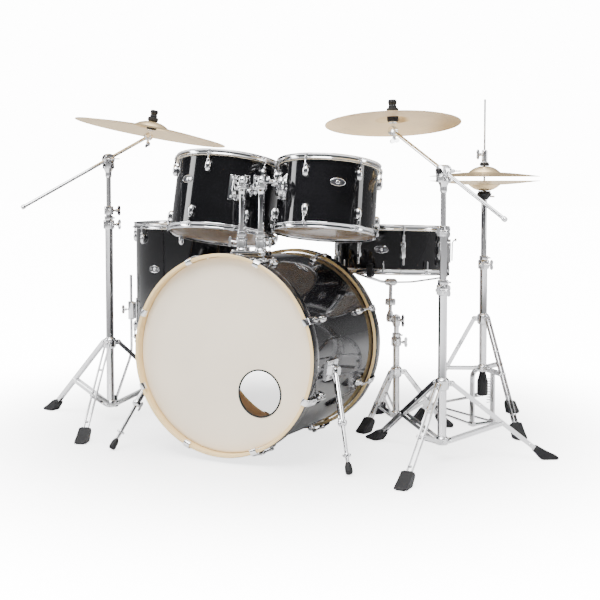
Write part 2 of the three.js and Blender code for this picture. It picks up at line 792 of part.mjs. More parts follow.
// The pedal board, hinged at the heel.
const board = hihat.heelDistance - hihat.toeDistance;
const slope = Math.atan2(hihat.toeHeight - hihat.heelHeight, board);
const boardLength = board / Math.cos(slope) - 4;
const boardPlate = box([0, -hihat.boardWidth / 2, 0], [boardLength, hihat.boardWidth / 2, hihat.boardThick]);
const hinge = hihat.boardThick / 2;
const knuckle = rod(new THREE.Vector3(0, -24, hinge), new THREE.Vector3(0, 24, hinge), 4.5);
const footboard = joined(boardPlate, knuckle)
  .rotateY(-slope)
  .rotateZ(Math.PI)
  .translate(hihat.heelDistance, 0, hihat.heelHeight);
place("hihat_footboard", footboard, finish.chrome, pedalGroup);

const seatBottom = hihat.seatTop - 26;
const pullBore = hihat.pullRod + hihat.pullPlay;
const seatCup = [
  [pullBore, seatBottom],
  [hihat.seatRadius / 2, seatBottom],
  [hihat.seatRadius, hihat.seatTop - 8],
  [hihat.seatRadius, hihat.seatTop],
  [pullBore, hihat.seatTop],
];
const hatTube = joined(
  pipe(pullBore, hihat.innerRadius, hihat.tubeTop - 180, seatBottom + 2, TUBE_SIDES),
  ring(seatCup, TUBE_SIDES),
);
place("hihat_tube", hatTube, finish.chrome, hatGroup);

const hatRise = bellTop(hihat.cymbalDiameter);
const lowerHat = cymbal(hihat.cymbalDiameter).rotateX(Math.PI).translate(0, 0, hihat.seatTop + GAP + hatRise);
place("hihat_bottom_cymbal", lowerHat, finish.bronze, hatGroup);
const upperEdge = hihat.seatTop + GAP + hatRise + hihat.opening + cymbalWall;
place("hihat_top_cymbal", cymbal(hihat.cymbalDiameter).translate(0, 0, upperEdge), finish.bronze, hatGroup);

const clutchBottom = upperEdge + hatRise + GAP;
const nutTop = upperEdge + hatRise - cymbalWall - bellSlope;
const pullRod = joined(
  disc(hihat.pullRod, hihat.tubeTop + hihat.pullRise, hihat.pullTop),
  disc(14, clutchBottom, clutchBottom + 12, 10),
  disc(9, clutchBottom + 10, clutchBottom + 52, 10),
  disc(11, nutTop - 8, nutTop, TUBE_SIDES),
);
place("hihat_pull_rod", pullRod, finish.chrome, hatGroup);

// ---------------------------------------------------------------- the part

const drumKit = new THREE.Group();
drumKit.add(kit);
drumKit.updateMatrixWorld(true);
const extent = new THREE.Box3().setFromObject(kit, true);
const middle = extent.getCenter(new THREE.Vector3());
kit.position.set(-middle.x, -middle.y, -extent.min.z);

export default drumKit;
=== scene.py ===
"""The looks of an acoustic drum kit, built round its CAD frame.

Shapes are worked out in millimetres, in the frame's own axes, as numpy surfaces.
piece() turns them to metres. Places come from the frame: the rims give each drum's middle
and axis, the joints give pins and pivots, and the boxes of the tubes give the stands.
"""

import json

import bmesh
import bpy
import numpy as np
from mathutils import Matrix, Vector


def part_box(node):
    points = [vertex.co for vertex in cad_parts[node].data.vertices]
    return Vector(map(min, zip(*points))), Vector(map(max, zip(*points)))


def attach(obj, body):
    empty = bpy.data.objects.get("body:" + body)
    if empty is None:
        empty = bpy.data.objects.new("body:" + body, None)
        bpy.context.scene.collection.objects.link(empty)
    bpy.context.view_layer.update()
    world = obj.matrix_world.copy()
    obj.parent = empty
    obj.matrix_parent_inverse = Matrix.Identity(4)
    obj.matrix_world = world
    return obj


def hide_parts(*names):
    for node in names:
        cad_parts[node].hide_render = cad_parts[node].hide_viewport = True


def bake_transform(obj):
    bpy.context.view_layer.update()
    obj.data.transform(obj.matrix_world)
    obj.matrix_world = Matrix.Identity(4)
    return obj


bl_info = {
    "name": "Drum Kit Looks",
    "version": (1, 0, 0),
    "blender": (4, 5, 0),
    "location": "View3D > Sidebar > Drum Kit",
    "description": "Builds the shells, heads, rims, stands and cymbals of a drum kit around its frame",
    "category": "Add Mesh",
}

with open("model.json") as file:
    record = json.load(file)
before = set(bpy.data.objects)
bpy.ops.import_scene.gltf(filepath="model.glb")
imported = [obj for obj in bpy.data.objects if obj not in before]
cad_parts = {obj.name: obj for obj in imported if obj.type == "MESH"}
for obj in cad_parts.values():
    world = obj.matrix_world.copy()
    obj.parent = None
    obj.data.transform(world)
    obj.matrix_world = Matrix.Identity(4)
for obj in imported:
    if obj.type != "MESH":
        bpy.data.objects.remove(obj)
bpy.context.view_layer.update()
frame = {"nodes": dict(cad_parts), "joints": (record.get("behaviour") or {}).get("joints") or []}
JOINTS = {joint["name"]: joint for joint in frame["joints"]}

TAU = 2 * np.pi
TO_METRES = 0.001
INCH = 25.4
UP = np.array([0.0, 0.0, 1.0])
RIGHT = np.array([1.0, 0.0, 0.0])
AHEAD = np.array([0.0, 1.0, 0.0])

# Diameter and depth of each drum, in millimetres.
DRUM_SIZES = {
    "left_tom": (13 * INCH, 9 * INCH),
    "right_tom": (12 * INCH, 8 * INCH),
    "floor_tom": (16 * INCH, 16 * INCH),
    "snare": (14 * INCH, 5.5 * INCH),
}
BASS_DIAMETER = 22 * INCH
BASS_DEPTH = 18 * INCH


# ------------------------------------------------------------------ reading the frame

def corners_of(node):
    """Lowest and highest corner of a CAD node, in millimetres."""
    low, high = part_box(node)
    return np.array(low) / TO_METRES, np.array(high) / TO_METRES


def middle_of(node):
    low, high = corners_of(node)
    return (low + high) / 2


def points_of(node):
    """Every vertex of a CAD node, in millimetres."""
    mesh = frame["nodes"][node].data
    flat = np.empty(3 * len(mesh.vertices))
    mesh.vertices.foreach_get("co", flat)
    return flat.reshape(-1, 3) / TO_METRES


def ring_axis(node, towards):
    """The direction in which a ring's points spread least, turned to point the given way."""
    points = points_of(node) - middle_of(node)
    axis = np.linalg.svd(points, full_matrices=False)[2][2]
    return axis if axis @ np.asarray(towards) > 0 else -axis


def foot_of(node):
    """The middle of a node's lowest points."""
    points = points_of(node)
    low = points[points[:, 2] < points[:, 2].min() + 0.5]
    return (low.min(0) + low.max(0)) / 2


def pin(joint):
    """Where a joint is, in millimetres."""
    return np.array(JOINTS[joint]["pos_m"]) / TO_METRES


def axis_of(joint):
    return unit(JOINTS[joint]["axis"])


# ------------------------------------------------------------------ shapes

def unit(vector):
    vector = np.asarray(vector, float)
    return vector / np.linalg.norm(vector)


def basis(axis, towards=UP):
    """Columns x, y, z of a frame: z runs along the axis and x leans towards the second direction."""
    z = unit(axis)
    lean = np.asarray(towards, float) - (np.asarray(towards, float) @ z) * z
    if np.linalg.norm(lean) < 1e-6:
        lean = np.cross([0.0, 1.0, 0.0], z)
    x = unit(lean)
    return np.column_stack([x, np.cross(z, x), z])


def about_z(degrees):
    """The turn by an angle about +Z."""
    a = np.radians(degrees)
    return np.array([[np.cos(a), -np.sin(a), 0], [np.sin(a), np.cos(a), 0], [0, 0, 1]])


def heading_of(point, middle, turn):
    """The angle in degrees, round the axis of a frame, at which a point stands."""
    x, y, _ = (point - middle) @ turn
    return np.degrees(np.arctan2(y, x))


class Part:
    """A surface: vertices, four-cornered faces and a UV pair at each corner of each face."""

    def __init__(self, points, faces, uv):
        self.points, self.faces, self.uv = points, faces, uv

    def at(self, origin=(0, 0, 0), turn=None):
        """The surface turned, then moved."""
        points = self.points if turn is None else self.points @ np.asarray(turn).T
        return Part(points + np.asarray(origin, float), self.faces, self.uv)


def grid(points, uv=None):
    """A surface from points in rows and columns; each cell is a face."""
    rows, columns = points.shape[:2]
    index = np.arange(rows * columns).reshape(rows, columns)
    faces = np.stack([index[:-1, :-1], index[:-1, 1:], index[1:, 1:], index[1:, :-1]], -1).reshape(-1, 4)
    if uv is None:
        uv = np.stack(np.meshgrid(np.linspace(0, 1, rows), np.linspace(0, 1, columns), indexing="ij"), -1)
    return Part(points.reshape(-1, 3), faces, uv.reshape(-1, 2)[faces])


def joined(parts):
    """Several surfaces as one."""
    starts = np.cumsum([0] + [len(part.points) for part in parts[:-1]])
    faces = np.vstack([part.faces + start for part, start in zip(parts, starts)])
    return Part(np.vstack([part.points for part in parts]), faces, np.vstack([part.uv for part in parts]))


def around(part, count, first=0.0):
    """Copies of a surface turned evenly about +Z."""
    return joined([part.at(turn=about_z(first + 360 * i / count)) for i in range(count)])


def soften(points, radius, steps=3, closed=False):
    """Each corner P becomes the curve (1-t)^2 A + 2t(1-t) P + t^2 B between points A and B beside it."""
    p = np.asarray(points, float)
    before, after = np.roll(p, 1, 0), np.roll(p, -1, 0)
    if not closed:
        before[0], after[-1] = p[0], p[-1]

    def beside(neighbour):
        away = neighbour - p
        length = np.linalg.norm(away, axis=1, keepdims=True)
        return p + away * np.minimum(radius, 0.45 * length) / np.maximum(length, 1e-9)

    a, b = beside(before), beside(after)
    t = np.linspace(0, 1, steps + 1)[None, :, None]
    curve = (1 - t) ** 2 * a[:, None] + 2 * t * (1 - t) * p[:, None] + t**2 * b[:, None]
    out = curve.reshape(-1, p.shape[1])
    return np.vstack([out, out[:1]]) if closed else out


def lathe(outline, steps=64, teeth=0, depth=0.0):
    """An outline of (radius, height) carried round +Z: x = r cos a, y = r sin a, z = h.
    With teeth, the radius is multiplied by 1 + depth cos(teeth a). UV is (length along the outline, arc)."""
    r, h = np.asarray(outline, float).T
    a = np.linspace(0, TAU, steps + 1)
    wave = 1 + depth * np.cos(teeth * a)
    radius = r[:, None] * wave
    points = np.stack([radius * np.cos(a), radius * np.sin(a), np.broadcast_to(h[:, None], radius.shape)], -1)
    run = np.concatenate([[0], np.cumsum(np.hypot(np.diff(r), np.diff(h)))])
    uv = np.stack(np.broadcast_arrays(run[:, None] * TO_METRES, a[None, :] * r.max() * TO_METRES), -1)
    return grid(points, uv)


def turned(corners, bend, bend_steps, sides, teeth=0, depth=0.0, closed=True):
    """A lathe surface from an outline with its corners rounded."""
    return lathe(soften(corners, bend, bend_steps, closed=closed), sides, teeth, depth)


def ring_section(inner, outer, low, high):
    """The corners of a ring's section, as (radius, height)."""
    return [(inner, low), (outer, low), (outer, high), (inner, high)]


def rod(start, end, radius, sides=20, bevel=0.6):
    """A round bar between two points, its end edges rounded."""
    start, end = np.asarray(start, float), np.asarray(end, float)
    length = np.linalg.norm(end - start)
    bevel = min(bevel, radius * 0.4, length * 0.3)
    inner, last = radius - bevel, length - bevel
    outline = [(0, 0), (inner, 0), (radius, bevel), (radius, last), (inner, length), (0, length)]
    return lathe(outline, sides).at(start, basis(end - start))


def path_and_tangents(path):
    """A path without repeated points, and the unit tangent at each point."""
    p = np.asarray(path, float)
    keep = np.concatenate([[True], np.linalg.norm(np.diff(p, axis=0), axis=1) > 1e-6])
    p = p[keep]
    tangent = np.gradient(p, axis=0)
    return p, tangent / np.linalg.norm(tangent, axis=1, keepdims=True)


def tube(path, radius, sides=16):
    """A round section carried along a path, closed at both ends: point + r (n cos a + b sin a)."""
    p, tangent = path_and_tangents(path)
    reference = np.eye(3)[np.argmin(np.abs(tangent).max(0))]
    normal = reference - (tangent @ reference)[:, None] * tangent
    normal /= np.linalg.norm(normal, axis=1, keepdims=True)
    other = np.cross(tangent, normal)
    p, normal, other = (np.vstack([q[:1], q, q[-1:]]) for q in (p, normal, other))
    r = np.full((len(p), 1, 1), float(radius))
    r[[0, -1]] = 0
    a = np.linspace(0, TAU, sides + 1)[None, :, None]
    return grid(p[:, None] + r * (normal[:, None] * np.cos(a) + other[:, None] * np.sin(a)))


def ribbon(path, width, thickness, across):
    """A flat bar carried along a path that lies square to the direction across; its corners are rounded."""
    p, tangent = path_and_tangents(path)
    side = unit(across)
    out = np.cross(tangent, side)
    section = rounded_box(thickness, width, min(thickness, width) * 0.3)
    section = np.vstack([section, section[:1]])
    rings = p[:, None] + section[None, :, 0:1] * out[:, None] + section[None, :, 1:2] * side
    ends = [np.repeat(q[None], len(section), 0)[None] for q in (p[0], p[-1])]
    return grid(np.concatenate([ends[0], rings, ends[1]]))


def rounded_box(width, height, radius, steps=3):
    """The corners of a rectangle about the origin, rounded."""
    w, h = width / 2, height / 2
    return soften([(-w, -h), (w, -h), (w, h), (-w, h)], radius, steps, closed=True)[:-1]


def slab(outline, thickness, bevel=0.7):
    """An outline in X-Y thickened along Z: rings of the outline, drawn in about its middle at both faces."""
    o = np.asarray(outline, float)
    o = np.vstack([o, o[:1]])
    middle = (o.min(0) + o.max(0)) / 2
    inner = 1 - bevel / np.abs(o - middle).max()
    half = thickness / 2
    rings = [(0, -half), (inner, -half), (1, bevel - half), (1, half - bevel), (inner, half), (0, half)]
    layers = [np.column_stack([middle + (o - middle) * s, np.full(len(o), z)]) for s, z in rings]
    return grid(np.stack(layers))


def block(size, radius=2.0, bevel=0.8):
    """A box about the origin with rounded upright edges."""
    return slab(rounded_box(size[0], size[1], radius), size[2], bevel)


def pebble(size, power=2.5, steps=10):
    """The surface |x/a|^p + |y/b|^p + |z/c|^p = 1."""
    u = np.linspace(-np.pi / 2, np.pi / 2, steps + 1)[:, None]
    v = np.linspace(0, TAU, 2 * steps + 1)[None, :]

    def bent(wave):
        return np.sign(wave) * np.abs(wave) ** (2 / power)

    a, b, c = np.asarray(size, float) / 2
    x = a * bent(np.cos(u)) * bent(np.cos(v))
    y = b * bent(np.cos(u)) * bent(np.sin(v))
    z = c * bent(np.sin(u)) * np.ones_like(v)
    return grid(np.stack([x, y, z], -1))


def coil(start, end, radius, wire, turns):
    """A helix of wire between two points: the angle and the height both grow evenly."""
    start, end = np.asarray(start, float), np.asarray(end, float)
    t = np.linspace(0, 1, int(turns * 14) + 1)[:, None]
    a = TAU * turns * t
    turn = basis(end - start)
    path = start + (end - start) * t + radius * (np.cos(a) * turn[:, 0] + np.sin(a) * turn[:, 1])
    return tube(path, wire, 8)


def wing_bolt(reach=16.0, stem=3.0, span=30.0):
    """A wing bolt along +Z: a threaded stem, a hub, and two wings drawn as r = a (1 + b cos 2 angle)."""
    a = np.linspace(0, TAU, 40, endpoint=False)
    r = span / 2 * (0.66 + 0.34 * np.cos(2 * a))
    wings = slab(np.column_stack([r * np.cos(a), 0.72 * r * np.sin(a)]), 3.6, 1.2)
    upright = np.array([[1, 0, 0], [0, 0, -1], [0, 1, 0]], float)
    hub = soften([(0, reach - 6), (6, reach - 6), (5, reach + 4), (0, reach + 4)], 1.5)
    screw = rod((0, 0, -2), (0, 0, reach), stem, 12)
    return joined([screw, lathe(hub, 20), wings.at((0, 0, reach + 6), upright)])


def key_bolt(length=10.0, radius=4.2):
    """A square-headed bolt along +Z with a washer under its head."""
    washer = lathe(soften([(0, 0), (radius + 2, 0), (radius + 2, 1.4), (0, 1.4)], 0.4, 2), 20)
    body = lathe(soften([(0, 1), (radius, 1), (radius, length - 5), (0, length - 5)], 0.6, 2), 20)
    return joined([washer, body, block((5, 5, 6), 0.6, 0.5).at((0, 0, length - 3))])


# ------------------------------------------------------------------ shader maths

class Value:
    """A node's output on which the usual operators add Math nodes."""

    def __init__(self, finish, socket):
        self.finish, self.socket = finish, socket

    def maths(self, operation, first, second):
        return self.finish.node("ShaderNodeMath", {"operation": operation}, {0: first, 1: second})

    def __add__(self, other):
        return self.maths("ADD", self, other)

    def __radd__(self, other):
        return self.maths("ADD", other, self)

    def __mul__(self, other):
        return self.maths("MULTIPLY", self, other)


class Finish:
    """A material under construction."""

    def __init__(self, name, **constants):
        self.material = bpy.data.materials.new(name)
        self.material.use_nodes = True
        self.tree = self.material.node_tree
        self.shader = self.tree.nodes["Principled BSDF"]
        for key, value in constants.items():
            self.shader.inputs[key.replace("_", " ")].default_value = value

    def node(self, kind, settings=None, inputs=None, output=0):
        """A node of that type; its settings are set first, then the values or links of its sockets."""
        made = self.tree.nodes.new(kind)
        for key, value in (settings or {}).items():
            if key == "stops":
                self.set_stops(made.color_ramp, value)
            else:
                setattr(made, key, value)
        for key, value in (inputs or {}).items():
            if isinstance(value, Value):
                self.tree.links.new(value.socket, made.inputs[key])
            else:
                made.inputs[key].default_value = value
        return Value(self, made.outputs[output])

    @staticmethod
    def set_stops(ramp, stops):
        while len(ramp.elements) < len(stops):
            ramp.elements.new(0.5)
        for element, (position, colour) in zip(ramp.elements, stops):
            element.position = position
            element.color = (*colour, 1.0)

    def places(self, scale=(1, 1, 1), use_uv=False):
        """Object coordinates, or the piece's own UV, stretched."""
        source = self.node("ShaderNodeTexCoord", output="UV" if use_uv else "Object")
        return self.node("ShaderNodeMapping", inputs={"Vector": source, "Scale": scale})

    def noise(self, places, scale, detail=3.0, roughness=0.5):
        values = {"Vector": places, "Scale": scale, "Detail": detail, "Roughness": roughness}
        return self.node("ShaderNodeTexNoise", inputs=values)

    def ramp(self, value, stops):
        return self.node("ShaderNodeValToRGB", {"stops": stops}, {"Fac": value})

    def bump(self, height, strength, distance=0.0005):
        values = {"Height": height, "Strength": strength, "Distance": distance}
        self.feed("Normal", self.node("ShaderNodeBump", inputs=values))

    def feed(self, socket, value):
        self.tree.links.new(value.socket, self.shader.inputs[socket])
        return self


def shades(colour, darker, lighter):
    """A colour a little darker and a little lighter."""
    return tuple(c * darker for c in colour), tuple(min(1.0, c * lighter) for c in colour)


def make_chrome(name, colour, rough):
    """Polished plate: a faint waviness, finger marks in the roughness, a trace of colour change."""
    made = Finish(name, Metallic=1.0)
    places = made.places()
    marks = made.noise(places, 38.0, 4.0)
    fine = made.noise(places, 900.0, 2.0)
    made.feed("Roughness", rough + marks * (rough * 0.8) + fine * 0.02)
    dark, light = shades(colour, 0.93, 1.05)
    made.feed("Base Color", made.ramp(made.noise(places, 9.0), [(0.3, dark), (0.7, light)]))
    made.bump(marks, 0.06, 0.0004)
    return made.material


def make_wrap(name, colour):
    """High gloss wrap: near black under a clear coat, with a faint ripple and dust-fine scratches."""
    made = Finish(name, IOR=1.5, Coat_Roughness=0.03, Coat_Weight=0.7, Specular_IOR_Level=0.15)
    places = made.places()
    ripple = made.noise(places, 14.0, 2.0)
    scratches = made.noise(made.places((1, 1, 40)), 60.0, 5.0)
    dark, light = shades(colour, 0.7, 1.5)
    made.feed("Base Color", made.ramp(made.noise(places, 5.0), [(0.35, dark), (0.7, light)]))
    made.feed("Roughness", 0.07 + scratches * 0.05)
    made.bump(ripple, 0.03, 0.0006)
    return made.material


def make_wood(name, light, dark, gloss):
    """Timber: long noise streaks along the second UV axis, with pores and a clear lacquer."""
    made = Finish(name)
    made.shader.inputs["Coat Weight"].default_value = gloss
    made.shader.inputs["Coat Roughness"].default_value = 0.12
    grain = made.noise(made.places((220, 6, 1), use_uv=True), 1.0, 6.0, 0.65)
    broad = made.noise(made.places((30, 2.2, 1), use_uv=True), 1.0, 3.0)
    pores = made.noise(made.places((900, 40, 1), use_uv=True), 1.0, 2.0)
    tone = grain * 0.6 + broad * 0.4
    made.feed("Base Color", made.ramp(tone, [(0.32, dark), (0.52, light), (0.72, shades(light, 1, 1.15)[1])]))
    made.feed("Roughness", 0.32 + pores * 0.2)
    made.bump(pores, 0.12, 0.0002)
    return made.material


def make_coated(name, colour):
    """A coated film: a fine sprayed grain and slight clouding."""
    made = Finish(name)
    places = made.places()
    spray = made.noise(places, 1400.0, 3.0, 0.7)
    clouds = made.noise(places, 4.0, 3.0)
    dark, light = shades(colour, 0.95, 1.03)
    made.feed("Base Color", made.ramp(clouds, [(0.3, dark), (0.7, light)]))
    made.feed("Roughness", 0.5 + spray * 0.2)
    made.bump(spray, 0.18, 0.0002)
    return made.material


def make_clear(name, colour, alpha):
    """A clear film: mostly see-through, with faint streaks."""
    made = Finish(name, IOR=1.5)
    haze = made.noise(made.places(), 12.0, 3.0)
    made.feed("Base Color", made.ramp(haze, [(0.3, colour), (0.7, shades(colour, 1, 1.06)[1])]))
    made.feed("Roughness", 0.08 + haze * 0.1)
    made.shader.inputs["Alpha"].default_value = alpha
    made.shader.inputs["Coat Weight"].default_value = 0.6
    return made.material


def make_bronze(name, colour):
    """Lathed bronze. The first UV axis is the distance along the outline, so that the tone bands
    and the fine grooves are rings. Slow clouds come from object coordinates."""
    made = Finish(name, Metallic=1.0)
    bands = made.noise(made.places((120, 0, 1), use_uv=True), 1.0, 4.0, 0.7)
    grooves = made.noise(made.places((1600, 0, 1), use_uv=True), 1.0, 3.0, 0.6)
    clouds = made.noise(made.places(), 9.0, 2.0)
    dark, light = shades(colour, 0.78, 1.12)
    tone = bands * 0.45 + grooves * 0.3 + clouds * 0.25
    made.feed("Base Color", made.ramp(tone, [(0.35, dark), (0.5, colour), (0.68, light)]))
    made.feed("Roughness", 0.26 + grooves * 0.22)
    made.bump(grooves * 0.7 + bands * 0.3, 0.32, 0.0004)
    return made.material


def make_dull(name, colour, rough, grain, depth, metallic=0.0):
    """Rubber, plastic or felt: an even colour with a grain in tone, gloss and height."""
    made = Finish(name, Metallic=metallic, Specular_IOR_Level=0.25)
    places = made.places()
    fine = made.noise(places, grain, 4.0, 0.6)
    dark, light = shades(colour, 0.75, 1.35)
    made.feed("Base Color", made.ramp(fine, [(0.3, dark), (0.7, light)]))
    made.feed("Roughness", rough - 0.06 + fine * 0.12)
    made.bump(fine, depth, 0.0004)
    return made.material


# ------------------------------------------------------------------ settings

def colour(name, description, default):
    return bpy.props.FloatVectorProperty(
        name=name, description=description, subtype="COLOR", default=default, min=0, max=1)


class DrumKitFinishes(bpy.types.PropertyGroup):
    wrap: colour("Wrap", "Colour of the shells", (0.006, 0.006, 0.007))
    maple: colour("Hoops", "Colour of the bass drum's hoops", (0.88, 0.64, 0.31))
    plies: colour("Plies", "Colour inside the shells", (0.62, 0.37, 0.16))
    film: colour("Heads", "Colour of the coated heads", (0.92, 0.81, 0.64))
    chrome: colour("Chrome", "Colour of the plated metal", (0.80, 0.80, 0.81))
    bronze: colour("Cymbals", "Colour of the cymbals", (0.92, 0.70, 0.40))


class DrumKitSizes(bpy.types.PropertyGroup):
    """Sizes of the fittings, in metres."""

    rim_flange: bpy.props.FloatProperty(
        name="Rim flange", description="How far a rim's flange stands out from the shell",
        default=0.0135, min=0.010, max=0.018, unit="LENGTH")
    lug_drop: bpy.props.FloatProperty(
        name="Lug drop", description="From a rack tom's bearing edge to the middle of its lugs",
        default=0.044, min=0.03, max=0.06, unit="LENGTH")
    strip: bpy.props.FloatProperty(
        name="Leg strip", description="Height of the strips that a tripod's legs are made of",
        default=0.013, min=0.008, max=0.018, unit="LENGTH")


def finishes():
    return bpy.context.scene.drum_kit_finishes


def sizes():
    return bpy.context.scene.drum_kit_sizes


def wood_named(name, light, darkening, gloss):
    return make_wood(name, tuple(light), shades(light, darkening, 1)[0], gloss)


MAKERS = {
    "wrap": lambda: make_wrap("gloss_black_wrap", finishes().wrap),
    "maple": lambda: wood_named("lacquered_maple", finishes().maple, 0.8, 0.25),
    "plies": lambda: wood_named("shell_plies", finishes().plies, 0.6, 0.2),
    "film": lambda: make_coated("coated_film", finishes().film),
    "clear": lambda: make_clear("clear_film", (0.75, 0.72, 0.66), 0.28),
    "chrome": lambda: make_chrome("chrome_plate", finishes().chrome, 0.07),
    "bronze": lambda: make_bronze("lathed_bronze", finishes().bronze),
    "rubber": lambda: make_dull("black_rubber", (0.014, 0.014, 0.015), 0.55, 500.0, 0.25),
    "plastic": lambda: make_dull("black_plastic", (0.012, 0.012, 0.013), 0.34, 900.0, 0.1),
    "felt": lambda: make_dull("black_felt", (0.02, 0.02, 0.021), 0.95, 1500.0, 0.8),
    "badge": lambda: make_dull("badge_enamel", (0.05, 0.05, 0.055), 0.25, 200.0, 0.05),
    "wire": lambda: make_chrome("dark_spring_wire", (0.32, 0.32, 0.33), 0.2),
}
MADE = {}
# The record's material for each finish that a scene may repaint. piece() tests a lone finish against it, but
# gives no object a slot from it.
SLOTS = {
    "wrap": "black_wrap",
    "maple": "maple_hoop",
    "film": "coated_head",
    "bronze": "cymbal_bronze",
    "chrome": "chrome",
}


def finish_named(name):
    """The material of that name, made the first time it is asked for."""
    if name not in MADE:
        MADE[name] = MAKERS[name]()
    return MADE[name]


def piece(name, body, skins, replaces=(), place=((0, 0, 0), None), crease=32.0, bridge=None):
    """Surfaces as one object. skins holds a list of surfaces for each finish,
    and place is the (origin, turn) that they are drawn in. Without bridge the object moves with the body;
    with bridge it stays fixed where it is drawn, and the other body, start and end in bridge are not used."""
    points, faces, uvs, marks = [], [], [], []
    count = 0
    for slot, parts in enumerate(skins.values()):
        part = joined([part.at(*place) for part in parts])
        points.append(part.points)
        faces.append(part.faces + count)
        uvs.append(part.uv)
        marks.append(np.full(len(part.faces), slot))
        count += len(part.points)
    points, faces = np.vstack(points) * TO_METRES, np.vstack(faces)
    mesh = bpy.data.meshes.new(name)
    mesh.vertices.add(len(points))
    mesh.vertices.foreach_set("co", points.ravel())
    mesh.loops.add(faces.size)
    mesh.loops.foreach_set("vertex_index", faces.ravel().astype(np.int32))
    mesh.polygons.add(len(faces))
    mesh.polygons.foreach_set("loop_start", np.arange(0, faces.size, 4, dtype=np.int32))
    mesh.polygons.foreach_set("material_index", np.concatenate(marks).astype(np.int32))
    mesh.uv_layers.new(name="UVMap").uv.foreach_set("vector", np.vstack(uvs).ravel().astype(np.float32))
    mesh.update(calc_edges=True)
    shape = bmesh.new()
    shape.from_mesh(mesh)
    bmesh.ops.remove_doubles(shape, verts=shape.verts, dist=2e-6)
    bmesh.ops.dissolve_degenerate(shape, edges=shape.edges, dist=1e-7)
    bmesh.ops.recalc_face_normals(shape, faces=shape.faces)
    shape.to_mesh(mesh)
    shape.free()
    mesh.shade_smooth()
    mesh.set_sharp_from_angle(angle=np.radians(crease))
    for finish in skins:
        mesh.materials.append(finish_named(finish))
    made = bpy.data.objects.new(name, mesh)
    only = list(skins)[0] if len(skins) == 1 else None
    only in SLOTS
    bpy.context.scene.collection.objects.link(made)
    if bridge:
        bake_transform(made)
    else:
        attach(made, body)
    if replaces:
        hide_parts(*replaces)


# ------------------------------------------------------------------ drums

UPSIDE_DOWN = np.diag([1.0, -1.0, -1.0])
# A film over the bearing edge, with its collar. Each corner is given by how far it is from the
# shell's radius, and its height.
COLLAR = [(-9, 0.5), (-1, 0.4), (1.3, -2), (1.6, -9), (0.9, -9), (0.8, -2), (-2, -0.2)]
# A pressed rim in the same terms, closed on itself: a flange for the rods, a wall, and a lip turned outwards.
RIM = [
    (7.0, -5.0), (5.6, -2.0), (5.6, 5.0), (8.0, 8.8), (9.4, 9.4), (8.6, 10.6), (6.6, 10.2), (3.4, 5.8),
    (3.4, -3.0), (2.0, -5.6), (2.0, -7.6),
]


def rim_outline(radius, flange):
    corners = [(flange, -7.6), (flange, -5.2), *RIM]
    return soften([(radius + x, z) for x, z in corners], 1.2, 2, closed=True)


def head_outline(radius):
    return soften([(0, 0.5), *[(radius + x, z) for x, z in COLLAR], (0, -0.1)], 1.5, 2)


def shell_surfaces(radius, half, wall=6.0):
    """The wrapped outside of a shell, and its plies inside and at its edges."""
    outside = lathe([(radius, -half + 1), (radius, half - 1)], 160)
    inner, crown = radius - wall, radius - 1.5
    upper = [(radius, half - 1), (crown, half), (inner, half - 3)]
    lower = [(r, -z) for r, z in reversed(upper)]
    return outside, lathe(upper + lower, 160)


def oval_lug(width=20.0, height=36.0, depth=15.0):
    """A lug that stands out along +X with its length along Z, with a round boss."""
    body = pebble((depth * 1.5, width, height), 2.3, 10).at((depth * 0.35, 0, 0))
    boss = lathe(soften([(0, 0), (5, 0), (5, 13), (3.4, 15), (0, 15)], 1, 2), 16)
    return joined([body, boss.at((depth * 0.7, 0, height * 0.2))])


def snare_lug():
    """A lug that serves both rims: a long body on two feet, with a sleeve for the rod at each end."""
    sleeves = [rod((10.5, 0, z), (10.5, 0, z + reach), 5, 16) for z, reach in ((26, 22), (-26, -22))]
    feet = [block((9, 17, 12), 3, 1).at((3, 0, z)) for z in (-18, 18)]
    return joined([pebble((15, 15, 62), 3.0, 10).at((6, 0, 0)), *sleeves, *feet])


def tension_rod(radius, top, bottom, flange=10.5):
    """A rod from a rim's flange to a lug, its square head and washer above the flange."""
    x = radius + flange
    return joined([
        rod((x, 0, bottom), (x, 0, top - 7), 2.8, 10),
        key_bolt(11, 3.6).at((x, 0, top - 5.2)),
        rod((x, 0, top - 11), (x, 0, top - 7.4), 4.6, 14),
    ])


def badge(width=46.0, height=24.0):
    """A plain oval plate in Y-Z that faces +X, with a raised rim, a centre boss and bars on either side."""
    a = np.linspace(0, TAU, 49)
    y, z = width / 2 * np.cos(a), height / 2 * np.sin(a)
    stand = np.array([[0, 0, 1], [1, 0, 0], [0, 1, 0]], float)
    plate = slab(np.column_stack([y, z])[:-1], 1.4, 0.5).at((0.7, 0, 0), stand)
    rim = tube(np.column_stack([np.full(49, 1.6), 0.97 * y, 0.95 * z]), 0.7, 8)
    boss = pebble((3, height * 0.5, height * 0.5), 2, 8).at((1.2, 0, 0))
    bar = block((width * 0.22, 1.2, 0.9), 0.4, 0.2)
    bars = [bar.at((1.6, side * width * 0.31, z), stand) for side in (-1, 1) for z in (-2.6, 0, 2.6)]
    return plate, joined([rim, boss, *bars])


def bent_to(part, radius):
    """Wraps a flat surface in Y-Z round a cylinder: the angle is y over the radius, and x is added
    to the radius."""
    x, y, z = part.points.T
    a = y / radius
    r = radius + x
    return Part(np.column_stack([r * np.cos(a), r * np.sin(a), z]), part.faces, part.uv)


# How many lugs each rim has, where the first one and the badge stand, in degrees round the axis from +X.
LUGS = {"left_tom": (6, -83.0), "right_tom": (6, -91.0), "floor_tom": (8, -70.0), "snare": (8, -58.0)}
BADGES = {"left_tom": -110.0, "right_tom": -55.0, "floor_tom": -100.0, "snare": -80.0}
SNARE_LUG_DROP = 34
BADGE_RISE = 0.28  # of half a tom's depth


